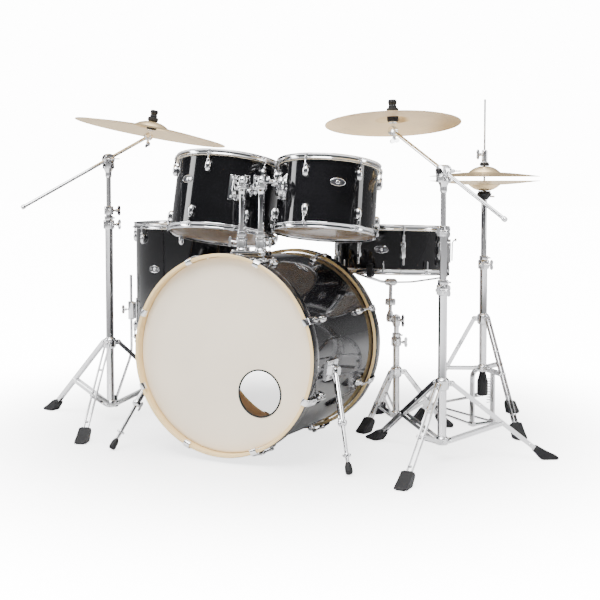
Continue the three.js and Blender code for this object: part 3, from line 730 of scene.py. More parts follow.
def drum_place(name):
    """A drum's middle and the frame of its axis, from its two rims."""
    top, bottom = middle_of(name + "_batter_hoop"), middle_of(name + "_bottom_hoop")
    axis = ring_axis(name + "_batter_hoop", UP)
    return (top + bottom) / 2, basis(axis, RIGHT)


def build_drum(name, body):
    diameter, depth = DRUM_SIZES[name]
    radius, half = diameter / 2, depth / 2
    place = drum_place(name)
    count, first = LUGS[name]
    top, bottom = (0, 0, half), (0, 0, -half)

    def both_rims(part):
        """Copies round the top rim, and round the bottom rim with the part turned over."""
        return joined([around(part, count, first), around(part.at(turn=UPSIDE_DOWN), count, -first)])

    outside, inside = shell_surfaces(radius, half)
    piece(name + "_wrapped_shell", body, {"wrap": [outside], "plies": [inside]}, [name + "_shell"], place)
    rim = lathe(rim_outline(radius, sizes().rim_flange / TO_METRES), 144)
    head = lathe(head_outline(radius), 128)
    lower_rim, lower_head = (part.at(turn=UPSIDE_DOWN).at(bottom) for part in (rim, head))
    piece(name + "_top_rim", body, {"chrome": [rim.at(top)]}, [name + "_batter_hoop"], place)
    piece(name + "_bottom_rim", body, {"chrome": [lower_rim]}, [name + "_bottom_hoop"], place)
    piece(name + "_bottom_film", body, {"clear": [lower_head]}, [name + "_bottom_hoop"], place)
    piece(name + "_top_film", body, {"film": [head.at(top)]}, [name + "_batter_head"], place)

    if name == "snare":
        drop, badge_height = SNARE_LUG_DROP, 0
        lugs = around(snare_lug().at((radius, 0, 0)), count, first)
    else:
        drop, badge_height = sizes().lug_drop / TO_METRES, half * BADGE_RISE
        lugs = both_rims(oval_lug().at((radius, 0, half - drop)))
    rods = both_rims(tension_rod(radius, half, half - drop))
    piece(name + "_lugs", body, {"chrome": [lugs]}, place=place)
    piece(name + "_tension_rods", body, {"chrome": [rods]}, place=place)

    set_at = about_z(BADGES[name])
    plate, trim = (bent_to(part, radius).at((0, 0, badge_height), set_at) for part in badge())
    piece(name + "_badge", body, {"badge": [plate], "chrome": [trim]}, place=place)


def build_snare_fittings():
    """The strainer, its lever, the butt plate, the wires and the strap that ties them."""
    middle, turn = drum_place("snare")
    radius, half = DRUM_SIZES["snare"][0] / 2, DRUM_SIZES["snare"][1] / 2
    angle = heading_of(middle_of("snare_strainer_lever"), middle, turn)
    place = middle, turn @ about_z(angle)
    behind = about_z(180)

    knob = turned([(0, 0), (7, 0), (7.5, 10), (0, 11)], 1.5, 3, 32, teeth=16, depth=0.05, closed=False)
    housing = [
        block((16, 30, 66), 4, 1.5).at((radius + 9, 0, -8)),
        block((10, 18, 22), 3, 1.2).at((radius + 8, 0, -50)),
        rod((radius + 10, -17, 10), (radius + 10, 17, 10), 4, 16),
        knob.at((radius + 9, 0, 26)),
    ]
    piece("snare_strainer", "snare_drum", {"chrome": housing}, place=place)
    bar = ribbon([(0, 0, -34), (0, 0, 24), (4, 0, 32), (12, 0, 36)], 15, 4, AHEAD).at((radius + 21.5, 0, 0))
    grip = pebble((7, 19, 10), 3).at((radius + 32, 0, 35))
    piece("snare_lever", "snare_strainer_lever", {"chrome": [bar, grip]}, ["snare_strainer_lever"], place)
    screws = [rod((radius + 7, y, -half + 20), (radius + 13, y, -half + 20), 3) for y in (-9, 9)]
    butt = joined([block((9, 34, 26), 4, 1.5).at((radius + 5, 0, -half + 26)), *screws])
    piece("snare_butt_plate", "snare_drum", {"chrome": [butt.at(turn=behind)]}, place=place)
    path = [(-6, -4), (10, -4), (12, 10), (11, 22)]
    strap = ribbon([(radius + x, 0, z - half) for x, z in path], 22, 1.0, AHEAD)
    piece("snare_straps", "snare_drum", {"rubber": [strap, strap.at(turn=behind)]}, place=place)
    below, reach = -half - 2.4, radius - 24
    strands = [coil((-reach, y, below), (reach, y, below), 0.9, 0.35, 34) for y in np.linspace(-18, 18, 8)]
    ends = [block((16, 44, 1.6), 2, 0.4).at((side * (reach + 2), 0, below)) for side in (-1, 1)]
    piece("snare_wires", "snare_drum", {"wire": strands, "chrome": ends}, place=place)


# ------------------------------------------------------------------ bass drum

BASS_RADIUS = BASS_DIAMETER / 2
HOOP_DEPTH = 38.0
HOOP_CLEARANCE = 2.6  # between the shell and a hoop
CLAWS = 8


def bass_place():
    """The middle of the bass drum's two mirrored hoops, and its frame: x right, y up, z forward."""
    forward = ring_axis("bass_front_hoop", (0, -1, 0))
    middle = (middle_of("bass_front_hoop") + middle_of("bass_rear_hoop")) / 2
    return middle, np.column_stack([RIGHT, np.cross(forward, RIGHT), forward])


def in_bass_frame(node):
    middle, turn = bass_place()
    return (points_of(node) - middle) @ turn


def hoop_surfaces(outer, inner, front):
    """A wooden hoop: its edges and inside are bare wood, and its outside is black."""
    back, rim = front - HOOP_DEPTH, outer - 0.4
    corners = [(rim, back), (inner, back), (inner, front), (outer - 2.2, front), (rim, front - 1.8)]
    band = lathe([(rim, back), (outer, back + 0.8), (outer, front - 2.6), (rim, front - 1.8)], 200)
    return lathe(soften(corners, 1.0, 3), 200), band


def port_of():
    """Middle and radius of the front head's hole, from the head's points inside its collar."""
    flat = in_bass_frame("bass_front_head")[:, :2]
    away = np.linalg.norm(flat, axis=1)
    edge = flat[(away < BASS_RADIUS - 20) & (away > 5)]
    low, high = edge.min(0), edge.max(0)
    return (low + high) / 2, (high - low).max() / 2


def film_with_port(half, port_middle, port_radius):
    """A film with a hole: rings run from the hole's edge out to the collar, on both faces."""
    a = np.linspace(0, TAU, 161)
    circle = np.column_stack([np.cos(a), np.sin(a)])
    t = np.linspace(0, 1, 25)[:, None, None]
    rings = (1 - t) * (port_middle + port_radius * circle) + t * (BASS_RADIUS - 2) * circle
    front, back = (np.concatenate([rings, np.full(rings.shape[:2] + (1,), half + z)], -1) for z in (0.5, 0.0))
    collar = [(-2, 0.5), (1.3, -1.5), (1.6, -9), (0.9, -9), (-2, 0.0)]
    edge = [np.column_stack([(BASS_RADIUS + x) * circle, np.full(161, half + z)]) for x, z in collar]
    return joined([grid(front), grid(back), grid(np.stack(edge)), grid(np.stack([back[0], front[0]]))])


def build_bass_drum():
    place = bass_place()
    half = BASS_DEPTH / 2
    front_hoop = in_bass_frame("bass_front_hoop")
    outer = np.linalg.norm(front_hoop[:, :2], axis=1).max()
    rim = front_hoop[:, 2].max()
    inner = BASS_RADIUS + HOOP_CLEARANCE
    flip = np.diag([-1.0, 1.0, -1.0])

    def piece_here(name, skins, replaces=()):
        piece("bass_" + name, "kit", skins, replaces, place)

    outside, inside = shell_surfaces(BASS_RADIUS, half, 7.5)
    piece_here("wrapped_shell", {"wrap": [outside], "plies": [inside]}, ["bass_shell"])
    wood, band = hoop_surfaces(outer, inner, rim)
    piece_here("front_wood_hoop", {"maple": [wood], "wrap": [band]}, ["bass_front_hoop"])
    rear_skins = {"maple": [wood.at(turn=flip)], "wrap": [band.at(turn=flip)]}
    piece_here("rear_wood_hoop", rear_skins, ["bass_rear_hoop"])
    rear = lathe(head_outline(BASS_RADIUS), 160).at((0, 0, half)).at(turn=flip)
    piece_here("rear_film", {"clear": [rear]}, ["bass_rear_hoop"])
    port_middle, port_radius = port_of()
    piece_here("front_film", {"film": [film_with_port(half, port_middle, port_radius)]}, ["bass_front_head"])
    ring = ring_section(port_radius - 2.0, port_radius + 2.6, -1.4, 2.2)
    piece_here("port_ring", {"plastic": [turned(ring, 1.2, 3, 96).at((*port_middle, half))]})

    # Each claw hooks over the hoop, and its rod runs back to a lug on the shell.
    foot = rim - HOOP_DEPTH
    hook = [
        (inner - 5, 0, rim - 6), (inner - 3, 0, rim + 2), (outer - 2, 0, rim + 2.5),
        (outer + 4, 0, rim - 6), (outer + 6, 0, foot + 4), (outer + 7, 0, foot - 12),
    ]
    claw = joined([
        ribbon(soften(hook, 4, 4), 20, 3.2, AHEAD),
        pebble((12, 16, 20), 3).at((outer + 5, 0, foot - 8)),
        key_bolt(13, 4.4).at((outer + 6, 0, foot + 1)),
    ])
    reach, x = foot - 78, outer + 6
    lug = joined([
        pebble((22, 21, 34), 2.4).at((BASS_RADIUS + 5, 0, reach)),
        rod((x, 0, reach + 4), (x, 0, reach + 20), 5, 16),
    ])
    bar = rod((x, 0, reach + 6), (x, 0, foot), 3.0, 12)
    for name, part in (("claws", claw), ("lugs", lug), ("rods", bar)):
        ring = around(part, CLAWS, 180 / CLAWS)
        piece_here(name, {"chrome": [ring, ring.at(turn=flip)]})
    for name, finish, part in zip(("badge", "badge_trim"), ("badge", "chrome"), badge(52, 27)):
        piece_here(name, {finish: [bent_to(part, BASS_RADIUS).at(turn=about_z(62))]})


def build_spurs():
    middle, turn = bass_place()
    for side, sign in (("left", -1), ("right", 1)):
        name = side + "_spur"
        pivot, tip = pin(name + "_fold"), foot_of(name)
        along = unit(tip - pivot)
        length = np.linalg.norm(tip - pivot)
        joint = length * 0.52  # where the rod comes out of its tube
        across = basis(along, (sign, 0, 0))[:, 1]
        collar = soften([(0, 0), (13, 0), (13, 9), (10, 14), (0, 14)], 1.5)
        washer = soften([(0, 0), (12, 0), (12, 5), (0, 5)], 1)
        metal = [
            rod(along * 0, along * joint, 9.2, 24),
            lathe(collar, 28).at(along * (joint - 10), basis(along)),
            rod(along * length * 0.4, along * (length - 12), 5.2, 20),
            lathe(washer, 28).at(along * length * 0.80, basis(along)),
            rod((-10 * sign, 0, 0), (13 * sign, 0, 0), 13, 28),
            wing_bolt(18, 3, 32).at(along * (joint - 4), basis(across, along)),
        ]
        rubber = lathe(soften([(0, 0), (8, 0), (11, 6), (10, 24), (6, 34), (0, 34)], 2), 28)
        foot = rubber.at(tip - pivot - along * 6, basis(-along))
        piece(name + "_rod", name, {"chrome": metal, "rubber": [foot]}, [name], (pivot, None))
        angle = heading_of(pivot, middle, turn)
        plate = joined([
            bent_to(block((5, 58, 74), 2, 1).at((2.5, 0, 0)), BASS_RADIUS),
            block((16, 30, 34), 4, 2).at((BASS_RADIUS + 8, 0, 0)),
        ]).at((0, 0, ((pivot - middle) @ turn)[2]), about_z(angle))
        piece(name + "_bracket", "kit", {"chrome": [plate]}, place=(middle, turn))


# ------------------------------------------------------------------ tom holder

POST_RADIUS = 9.5
POST_CLEARANCE = 0.4
POST_SPREAD = 32.0  # of each post from the drum's middle


def build_tom_holder():
    place = bass_place()
    middle, turn = place
    local = in_bass_frame("tom_holder")
    low, high = local.min(0), local.max(0)
    width, length = high[0] - low[0], high[2] - low[2]
    z = (low[2] + high[2]) / 2
    shell = BASS_RADIUS
    upright = basis(AHEAD, RIGHT)
    lying = np.array([[1, 0, 0], [0, 0, 1], [0, -1, 0]], float)
    bore = POST_RADIUS + POST_CLEARANCE

    metal = [
        slab(rounded_box(width, length, 16, 6), 14, 2.5).at((0, shell + 7, z), lying),
        bent_to(block((6, width, length), 12, 1).at((3, 0, 0)), shell).at((0, 0, z), about_z(90)),
    ]
    screw = pebble((9, 5, 9), 2)
    for x in (-width / 2 + 9, width / 2 - 9):
        metal += [screw.at((x, shell + 15, z + off)) for off in (-24, 24)]
    collar = [(bore, 0), (19, 0), (19, 8), (16, 12), (16, 34), (18, 36), (18, 44), (bore, 44)]
    collar = turned(collar, 1.6, 3, 40)
    lock_ring = turned(ring_section(bore, 15, 0, 15), 1.5, 3, 32)
    for side in (-1, 1):
        x = side * POST_SPREAD
        metal += [
            collar.at((x, shell + 10, z), upright),
            lock_ring.at((x, shell + 57, z), upright),
            wing_bolt(17, 3, 32).at((x + side * 14, shell + 40, z), basis((side, 0, 0.4), AHEAD)),
        ]
    piece("tom_holder_base", "kit", {"chrome": metal}, ["tom_holder"], place)

    cup = [(0, -42), (11, -42), (12, -34), (17, -26), (18, -6), (13.8, -6), (13.6, -9), (10, -12), (0, -14)]
    cup = lathe(soften(cup, 1.5, 3), 40)
    cheek = block((6, 26, 30), 5, 1.5)
    for side, sign in (("left", -1), ("right", 1)):
        ball = pin(side + "_tom_tilt")
        seat = (ball - middle) @ turn
        bottom = in_bass_frame(side + "_tom_post")[:, 1].min()
        post = turned(ring_section(6.5, POST_RADIUS, 0, seat[1] - bottom - 12), 1, 2, 32)
        metal = [
            post.at((seat[0], bottom, seat[2]), upright),
            cup.at(seat, upright),
            *[cheek.at(seat + (x, 2, 0), basis(UP, RIGHT)) for x in (sign * 17, -sign * 17)],
            wing_bolt(24, 3.4, 40).at(seat + (0, -20, 12), basis((0, -0.25, 1), AHEAD)),
        ]
        piece(side + "_tom_post_tube", side + "_tom_post", {"chrome": metal}, [side + "_tom_post"], place)
        build_ball_arm(side, ball)


def build_ball_arm(side, ball):
    """The bracket on a rack tom's shell, with the arm that ends in the ball."""
    drum, turn = drum_place(side + "_tom")
    radius = DRUM_SIZES[side + "_tom"][0] / 2
    reach = (ball - drum) @ turn
    height, out = reach[2], np.hypot(reach[0], reach[1])
    metal = [
        bent_to(block((5, 52, 78), 14, 1.5).at((2.5, 0, height - 12)), radius),
        pebble((26, 40, 60), 3.2, 12).at((radius + 10, 0, height - 10)),
        wing_bolt(18, 3.2, 36).at((radius + 14, 18, height - 18), basis((0.35, 1, 0), UP)),
        rod((radius + 8, 0, height), (out, 0, height), 7.0, 24),
        turned(ring_section(7, 14, 0, 11), 1.5, 3, 28).at((radius + 24, 0, height), basis(RIGHT)),
        pebble((26, 26, 26), 2, 16).at((out, 0, height)),
    ]
    screw = pebble((5, 8, 8), 2)
    metal += [screw.at((radius + 6, y, height - 12 + z)) for y in (-17, 17) for z in (-30, 30)]
    place = drum, turn @ about_z(heading_of(ball, drum, turn))
    piece(side + "_tom_ball_arm", side + "_tom", {"chrome": metal}, [side + "_tom_arm"], place)


# ------------------------------------------------------------------ floor tom legs

LEG_OFFSET = 20  # of a leg from the floor tom's shell
LEG_BEND = 190.0
LEG_BRACKET_DROP = 100


def build_floor_legs():
    middle, turn = drum_place("floor_tom")
    radius = DRUM_SIZES["floor_tom"][0] / 2
    rubber = lathe(soften([(0, 0), (12.5, 0), (13, 8), (10, 26), (8.5, 40), (0, 40)], 2.5, 3), 32)
    bracket = joined([
        bent_to(block((4, 42, 84), 9, 1).at((2, 0, 0)), radius),
        block((22, 26, 58), 6, 2.5).at((radius + 13, 0, 0)),
        turned(ring_section(5.4, 11, -32, 32), 1.5, 3, 28).at((radius + LEG_OFFSET, 0, 0)),
        wing_bolt(16, 3, 32).at((radius + 26, 0, 4), basis(RIGHT, UP)),
    ])
    for i in (1, 2, 3):
        node = "floor_tom_leg_%d" % i
        foot = foot_of(node)
        outward = unit((foot - middle) * (1, 1, 0))
        line = middle * (1, 1, 0) + outward * (radius + LEG_OFFSET)
        top = line + UP * corners_of(node)[1][2]
        leg = tube(soften([top, line + UP * LEG_BEND, foot + UP * 14], 26, 8), 4.8, 20)
        knurl = rod(top - UP * 2, top, 5.4, 20)
        piece("floor_tom_%d_leg" % i, node, {"chrome": [leg, knurl], "rubber": [rubber.at(foot)]}, [node])
        set_at = about_z(np.degrees(np.arctan2(outward[1], outward[0])))
        on_shell = bracket.at((0, 0, -LEG_BRACKET_DROP), set_at)
        piece("floor_tom_%d_bracket" % i, "kit", {"chrome": [on_shell]}, place=(middle, turn))


# ------------------------------------------------------------------ stands

# For each stand: its fixed tube's node, lowest point, radius and bore, where on a leg its brace joins,
# how far apart a leg's strips are, and which way its clamp looks.
STAND_FACTS = ("base", "bottom", "radius", "bore", "joins", "spacing", "clamp")
STANDS = {
    "snare_stand": ("snare_stand_base", 23.0, 11.25, 9.05, 0.52, 11.0, -60.0),
    "ride_stand": ("ride_stand_base", 50.0, 12.7, 9.9, 0.54, 14.0, -35.0),
    "crash_stand": ("crash_stand_base", 48.0, 12.7, 10.7, 0.52, 14.0, -95.0),
    "hihat_stand": ("hihat_base", 177.0, 12.5, 9.7, 0.47, 12.0, -80.0),
}
STANDS = {stand: dict(zip(STAND_FACTS, values)) for stand, values in STANDS.items()}
PIN_RADIUS = 29.0
HUB_RISE = 11  # of the braces' pins above a fixed tube's lowest point, and out from its side
TUBE_CLEARANCE = 0.3
LEG_SLACK = 34  # from a leg's strips to the floor point, which the foot fills


def stand_line(stand):
    """The foot of a stand's upright line, and its leg pins."""
    pins = [pin("%s_leg_%d_fold" % (stand, i)) for i in (1, 2, 3)]
    return np.mean(pins, axis=0) * (1, 1, 0), pins


def leg_directions(hinge, line):
    """Outwards and across, for the leg on that pin."""
    outward = unit((hinge - line) * (1, 1, 0))
    return outward, np.cross(UP, outward)


def strip(start, end, across, offset, tall, thick=2.6):
    """A flat bar with round ends between two points, set off to one side."""
    span = end - start
    a = np.linspace(-np.pi / 2, np.pi / 2, 9)
    cap = tall / 2 * np.column_stack([np.cos(a), np.sin(a)])
    outline = np.vstack([cap + (np.linalg.norm(span), 0), -cap])
    return slab(outline, thick, 0.6).at(start + across * offset, basis(across, span))


def foot_outline(sole, hinge, line):
    """A rubber foot's outline in its leg's upright plane, as (outwards, up) from the stand's line."""
    bottom, top = (np.array([np.linalg.norm((point - line)[:2]), point[2]]) for point in (sole, hinge))
    along = unit(bottom - top)
    square = np.array([-along[1], along[0]])
    slope = -along[1]
    corners = [
        *[bottom - along * back + square * out for back, out in ((54, -9), (54, 10), (18, 15))],
        *[(bottom[0] + x / slope, z) for x, z in ((18, 7.0), (16, 0.0), (-15, 0.0))],
        bottom - along * 28 - square * 13,
    ]
    return soften(corners, 7, 4, closed=True)[:-1]


def rivet(point, across, wide, radius=3.6):
    return rod(point - across * wide, point + across * wide, radius, 16, 1.2)


def build_tripod(stand):
    facts = STANDS[stand]
    line, pins = stand_line(stand)
    tall = sizes().strip / TO_METRES
    half = facts["spacing"] / 2
    for i, hinge in enumerate(pins, 1):
        node = "%s_leg_%d" % (stand, i)
        outward, across = leg_directions(hinge, line)
        reach = foot_of(node) - hinge
        knee = hinge + reach * facts["joins"]
        ankle = hinge + reach * (1 - LEG_SLACK / np.linalg.norm(reach))
        metal = [strip(hinge, ankle, across, side * half, tall) for side in (-1, 1)]
        metal += [rivet(hinge + reach * share, across, half + 2.4) for share in (0.28, 0.8)]
        metal += [rivet(hinge, across, half + 3.4), rivet(knee, across, half + 6.4)]
        outline = foot_outline(foot_of(node), hinge, line)
        upright = np.column_stack([outward, UP, -across])
        rib = slab(outline * 0.94 + outline.mean(0) * 0.06, 1.6, 0.4)
        rubber = [slab(outline, 33, 5).at(line, upright)]
        rubber += [rib.at(line + across * side * 16.9, upright) for side in (-1, 1)]
        piece("%s_%d_leg" % (stand, i), node, {"chrome": metal, "rubber": rubber}, [node])

        hub = line + UP * (facts["bottom"] + HUB_RISE) + outward * (facts["radius"] + HUB_RISE)
        braces = [strip(hub, knee, across, side * (half + 3.4), tall * 0.85, 2.2) for side in (-1, 1)]
        metal = [*braces, rivet(hub, across, half + 6.4)]
        piece("%s_%d_brace" % (stand, i), "kit", {"chrome": metal}, bridge=(node, hub, knee))


def base_outline(bottom, top, pivot, radius, bore):
    """A stand's fixed tube: a socket for the braces, the tube, a collar for the legs and a clamp seat."""
    socket = [(4, 0), (5, 3), (5, 19), (1.5, 23), (0, 24)]
    collar = [(0, -19), (5, -17), (7, -12), (7, 11), (4, 15), (0, 17)]
    seat = [(0, -30), (3, -29), (4, -25), (4, -3), (2, 0)]
    bands = ((bottom, socket), (pivot, collar), (top, seat))
    steps = [(radius + x, level + z) for level, band in bands for x, z in band]
    return soften([(bore, bottom), *steps, (bore, top)], 1.6, 3, closed=True)


def leg_ears(stand):
    """Cast ears that hold the legs above and the braces below, one pair for each leg."""
    facts = STANDS[stand]
    line, pins = stand_line(stand)
    a = np.linspace(0, TAU, 28, endpoint=False)
    spots = [(pins[0][2], PIN_RADIUS), (facts["bottom"] + HUB_RISE, facts["radius"] + HUB_RISE)]
    ears = []
    for hinge in pins:
        outward, across = leg_directions(hinge, line)
        for height, far in spots:
            inward = far - facts["radius"]
            outline = np.column_stack([8.5 * np.cos(a) - inward * (np.cos(a) < 0), 8.5 * np.sin(a)])
            ear = slab(outline, 6.4, 1.2)
            ears.append(ear.at(line + UP * height + outward * far, basis(across, outward)))
    return ears


def clamp(point, radius, heading):
    """A split clamp round a tube, with a lug on one side, a pin through it and a wing bolt."""
    spin = about_z(heading)
    side = spin @ AHEAD
    lug = point + spin @ RIGHT * (radius + 11)
    return [
        turned(ring_section(radius, radius + 5.5, -14, 14), 2, 3, 36).at(point),
        block((19, 10, 25), 3, 1.4).at(lug, spin),
        rod(lug - side * 11, lug + side * 11, 5, 20),
        wing_bolt(14, 3.2, 34).at(lug + side * 8, basis(side, UP)),
    ]


def lock(point, radius):
    """A memory lock: a ring round a tube with a key bolt in its side."""
    ring = turned(ring_section(radius, radius + 4.5, 0, 13.0), 1.5, 3, 36)
    return [ring.at(point), key_bolt(9, 3.4).at(point + (radius + 4, 0, 6.5), basis(RIGHT, UP))]


def build_stand_tubes():
    """The fixed tubes of the four stands, and the snare stand's sliding tube with its tilter."""
    for stand, facts in STANDS.items():
        line, pins = stand_line(stand)
        top = corners_of(facts["base"])[1][2]
        radius, bore = facts["radius"], facts["bore"]
        outline = base_outline(facts["bottom"], top, pins[0][2], radius, bore)
        tubes = [lathe(outline, 48).at(line), *leg_ears(stand)]
        tubes += clamp(line + UP * (top - 14), radius, facts["clamp"])
        tubes += lock(line + UP * (top + 1), bore)
        piece(stand + "_fixed_tube", "kit", {"chrome": tubes}, [facts["base"]])

    ball = pin("snare_tilt")
    line, _ = stand_line("snare_stand")
    inner = STANDS["snare_stand"]["bore"] - TUBE_CLEARANCE
    aside = unit((ball - line) * (1, 1, 0))
    head = line + UP * ball[2]
    neck = soften([(0, -22), (inner + 3, -22), (13, -12), (13, 12), (0, 12)], 2, 3)
    gear = soften([(0, -12), (15, -12), (17, -9), (17, 0), (0, 0)], 1.2, 2)
    tilter = [
        rod(line + UP * corners_of("snare_stand_tube")[0][2], line + UP * (ball[2] - 14), inner, 32),
        lathe(neck, 36).at(head),
        lathe(gear, 64, 24, 0.05).at(head + aside * 8, basis(aside)),
        wing_bolt(20, 3.6, 42).at(head - aside * 10, basis(-aside, UP)),
    ]
    piece("snare_stand_upper_tube", "snare_stand_tube", {"chrome": tilter}, ["snare_stand_tube"])


# ------------------------------------------------------------------ booms and cymbals

CYMBAL_HOLE = 6.5
CYMBAL_WALL = 1.3
CAD_WALL = 1.6  # of the frame's cymbals, whose undersides the felts meet
BELL_HEIGHT = 20
STEM_TO_SPIN = 50  # from a stem's foot to its cymbal's spin joint
STEM_TO_BELL = 55  # from a stem's foot to its cymbal's bell
# How high each boom stand's sliding tube narrows, and which way the clamp there looks.
NECKS = {"ride": (694.0, -35), "crash": (649.0, -100)}


def cymbal_outline(diameter):
    """Height over radius r: a bow h (1 - s^1.35), s from 0 at the bell's foot to 1 at the edge, and a bell
    of 20 (1 - (r / foot)^2.6) on top of it. The underside runs back at the metal's thickness."""
    foot = 30 + 0.06 * diameter
    bow = 0.035 * diameter
    edge = diameter / 2
    r = np.concatenate([np.linspace(CYMBAL_HOLE, foot, 26), np.linspace(foot, edge, 60)[1:]])
    s = np.clip((r - foot) / (edge - foot), 0, 1)
    bell = np.clip(1 - (r / foot) ** 2.6, 0, 1)
    height = bow * (1 - s**1.35) + BELL_HEIGHT * bell
    top = np.column_stack([r, height])
    under = np.column_stack([r, height - CYMBAL_WALL])[::-1]
    return np.vstack([top, under, top[:1]]), bow + BELL_HEIGHT


def build_boom(name, diameter):
    """A boom stand's upper tube, fork, boom, tilter, felts and cymbal."""
    stand, body = name + "_stand", name + "_boom"
    pivot, normal = pin(name + "_boom_tilt"), axis_of(name + "_cymbal_spin")
    axis = axis_of(name + "_boom_tilt")
    heading = np.array([-axis[1], axis[0], 0.0])
    base = pin(name + "_cymbal_spin") - normal * STEM_TO_SPIN
    points = points_of(stand + "_boom") - pivot
    reach = points @ heading
    tail = pivot + points[reach < reach.min() + 9].mean(0)
    along = unit(pivot - tail)
    nose = pivot + along * ((base - pivot) @ along)
    build_fork(name, pivot, axis, heading)

    facing, turn = basis(axis, UP), basis(normal, RIGHT)
    gear = soften([(0, -11), (17, -11), (17.5, -9), (17.5, 9), (17, 11), (0, 11)], 1, 2)
    tilter = soften([(0, -9), (13, -9), (14, -7), (14, 7), (13, 9), (0, 9)], 1, 2)
    end = soften([(0, 0), (6.4, 0), (7.4, 3), (7.4, 12), (0, 12)], 1.2, 2)
    cup = turned(ring_section(4.8, 13, -28, -24.2), 0.8, 2, 40)
    neck = soften([nose, (nose + base) / 2 - normal * 2, base, base + normal * 40], 9, 6)
    seat = base + normal * (STEM_TO_BELL - 2 * CAD_WALL)
    metal = [
        rod(tail, nose, 5.5, 28),
        lathe(gear, 64, 22, 0.02).at(pivot, facing),
        rod(pivot - along * 19, pivot + along * 19, 8.5, 28),
        rod(nose - along * 13, nose + along * 7, 8.6, 28),
        lathe(tilter, 60, 20, 0.03).at(nose, facing),
        tube(neck, 4.6, 18),
        rod(base, base + normal * 91, 3.6, 20),
        wing_bolt(20, 3.4, 40).at(nose - normal * 4, basis(-normal + axis * 0.25, axis)),
        cup.at(seat, turn),
        lathe(end, 28).at(tail - along * 2, basis(along)),
    ]
    under = turned([(4.8, -24), (15, -24), (17, -21), (17, -2), (15, 0), (4.8, 0)], 2.2, 3, 48)
    upper = turned([(4, 0), (16, 0), (18, 3), (18, 12), (15, 14), (4, 14)], 2.2, 3, 48)
    felts = [under.at(seat, turn), upper.at(base + normal * (STEM_TO_BELL + 0.6), turn)]
    nut = soften([(0, 69), (11, 69), (12.5, 72), (10, 79), (13, 84), (12, 94), (0, 95)], 2.5, 3)
    skins = {"chrome": metal, "felt": felts, "plastic": [lathe(nut, 56, 14, 0.05).at(base, turn)]}
    piece(stand + "_boom_arm", body, skins, [stand + "_boom"])

    outline, rise = cymbal_outline(diameter)
    plate = lathe(outline, 192).at(base + normal * (STEM_TO_BELL - rise), turn)
    piece(name + "_cymbal_plate", name + "_cymbal", {"bronze": [plate]}, [name + "_cymbal"], crease=60)


def build_fork(name, pivot, axis, heading):
    """A boom stand's sliding tube, which narrows at its neck, and the fork that holds the boom."""
    stand = name + "_stand"
    line, _ = stand_line(stand)
    inner = STANDS[stand]["bore"] - TUBE_CLEARANCE
    neck, clamp_heading = NECKS[name]
    socket = [(0, -62), (8.6, -62), (10.5, -56), (10.5, -44), (16.5, -30), (16.5, -24), (0, -24)]
    tubes = [
        rod(line + UP * corners_of(stand + "_tube")[0][2], line + UP * (neck + 26), inner, 32),
        rod(line + UP * neck, line + UP * (pivot[2] - 40), 8.0, 32),
        *clamp(line + UP * (neck + 12), inner, clamp_heading),
        lathe(soften(socket, 1.5, 3), 40).at(pivot),
    ]
    cheek = soften([(0, -2.6), (16.5, -2.6), (17.5, -1.4), (17.5, 1.4), (16.5, 2.6), (0, 2.6)], 0.8, 2)
    cheek = lathe(cheek, 72, 28, 0.025)
    prong = block((5.2, 30, 32), 2, 0.8)
    for offset in (-14, 14):
        tubes.append(cheek.at(pivot + axis * offset, basis(axis, UP)))
        tubes.append(prong.at(pivot + axis * offset - UP * 16, np.column_stack([axis, heading, UP])))
    tubes.append(wing_bolt(22, 4, 46).at(pivot + axis * 16, basis(axis, heading)))
    cap = lathe(soften([(0, 0), (9, 0), (8, 5), (0, 6)], 1.5), 32).at(pivot - axis * 16.5, basis(-axis))
    piece(stand + "_upper_tube", stand + "_tube", {"chrome": tubes, "plastic": [cap]}, [stand + "_tube"])


# ------------------------------------------------------------------ snare basket

SNARE_STEM = 229  # from the tilt joint to the snare's middle
HOOK_RADIUS = 184.9  # of the hooks' faces, round the snare's rim
HUB_HEIGHT = 124.0
ARM_ANGLES = (30, 150, 270)


def build_basket():
    """The snare's cradle: a threaded stem, its nut, a hub, and three arms with rubber hooks."""
    ball = pin("snare_tilt")
    turn = basis(ring_axis("snare_batter_hoop", UP), RIGHT)
    hub = HUB_HEIGHT
    crown = [(0, -15), (14, -15), (21, -9), (21, 2), (15, 8), (0, 8)]
    elbow = np.array([HOOK_RADIUS + 6, 0, SNARE_STEM - DRUM_SIZES["snare"][1] / 2 - 17.5])
    outlines = [
        ([(0, -12), (10, -12), (13, -4), (13, 8), (9, 20), (7, 26), (0, 26)], 2, 36, 0, 0),
        ([(0, 44), (15, 44), (17, 48), (17, 62), (14, 66), (0, 66)], 1.5, 64, 10, 0.06),
        ([(r, hub + z) for r, z in crown], 2, 48, 0, 0),
    ]
    stem, nut, top = (lathe(soften(line, bend, 3), *rest) for line, bend, *rest in outlines)
    path = soften([(10, 0, hub - 4), (70, 0, hub - 2), elbow, elbow + (0, 0, 36)], 14, 6)
    arm = [ribbon(path, 15, 5.5, AHEAD), rod((16, -9, hub - 4), (16, 9, hub - 4), 4, 16)]
    hook = soften([elbow + (0, 0, 4), elbow + (0, 0, 34), elbow + (-4, 0, 40), elbow + (-9, 0, 39)], 5, 5)
    rubber = [ribbon(hook, 20, 9, AHEAD), pebble((26, 17, 9), 3).at(elbow - (13, 0, -5.5))]
    arms, pads = ([part.at(turn=about_z(a)) for a in ARM_ANGLES for part in parts] for parts in (arm, rubber))
    skins = {"chrome": [stem, rod((0, 0, 20), (0, 0, hub), 6.2, 24), nut, top, *arms], "rubber": pads}
    piece("snare_cradle", "snare_drum", skins, ["snare_basket"], (ball, turn))


# ------------------------------------------------------------------ hi-hat

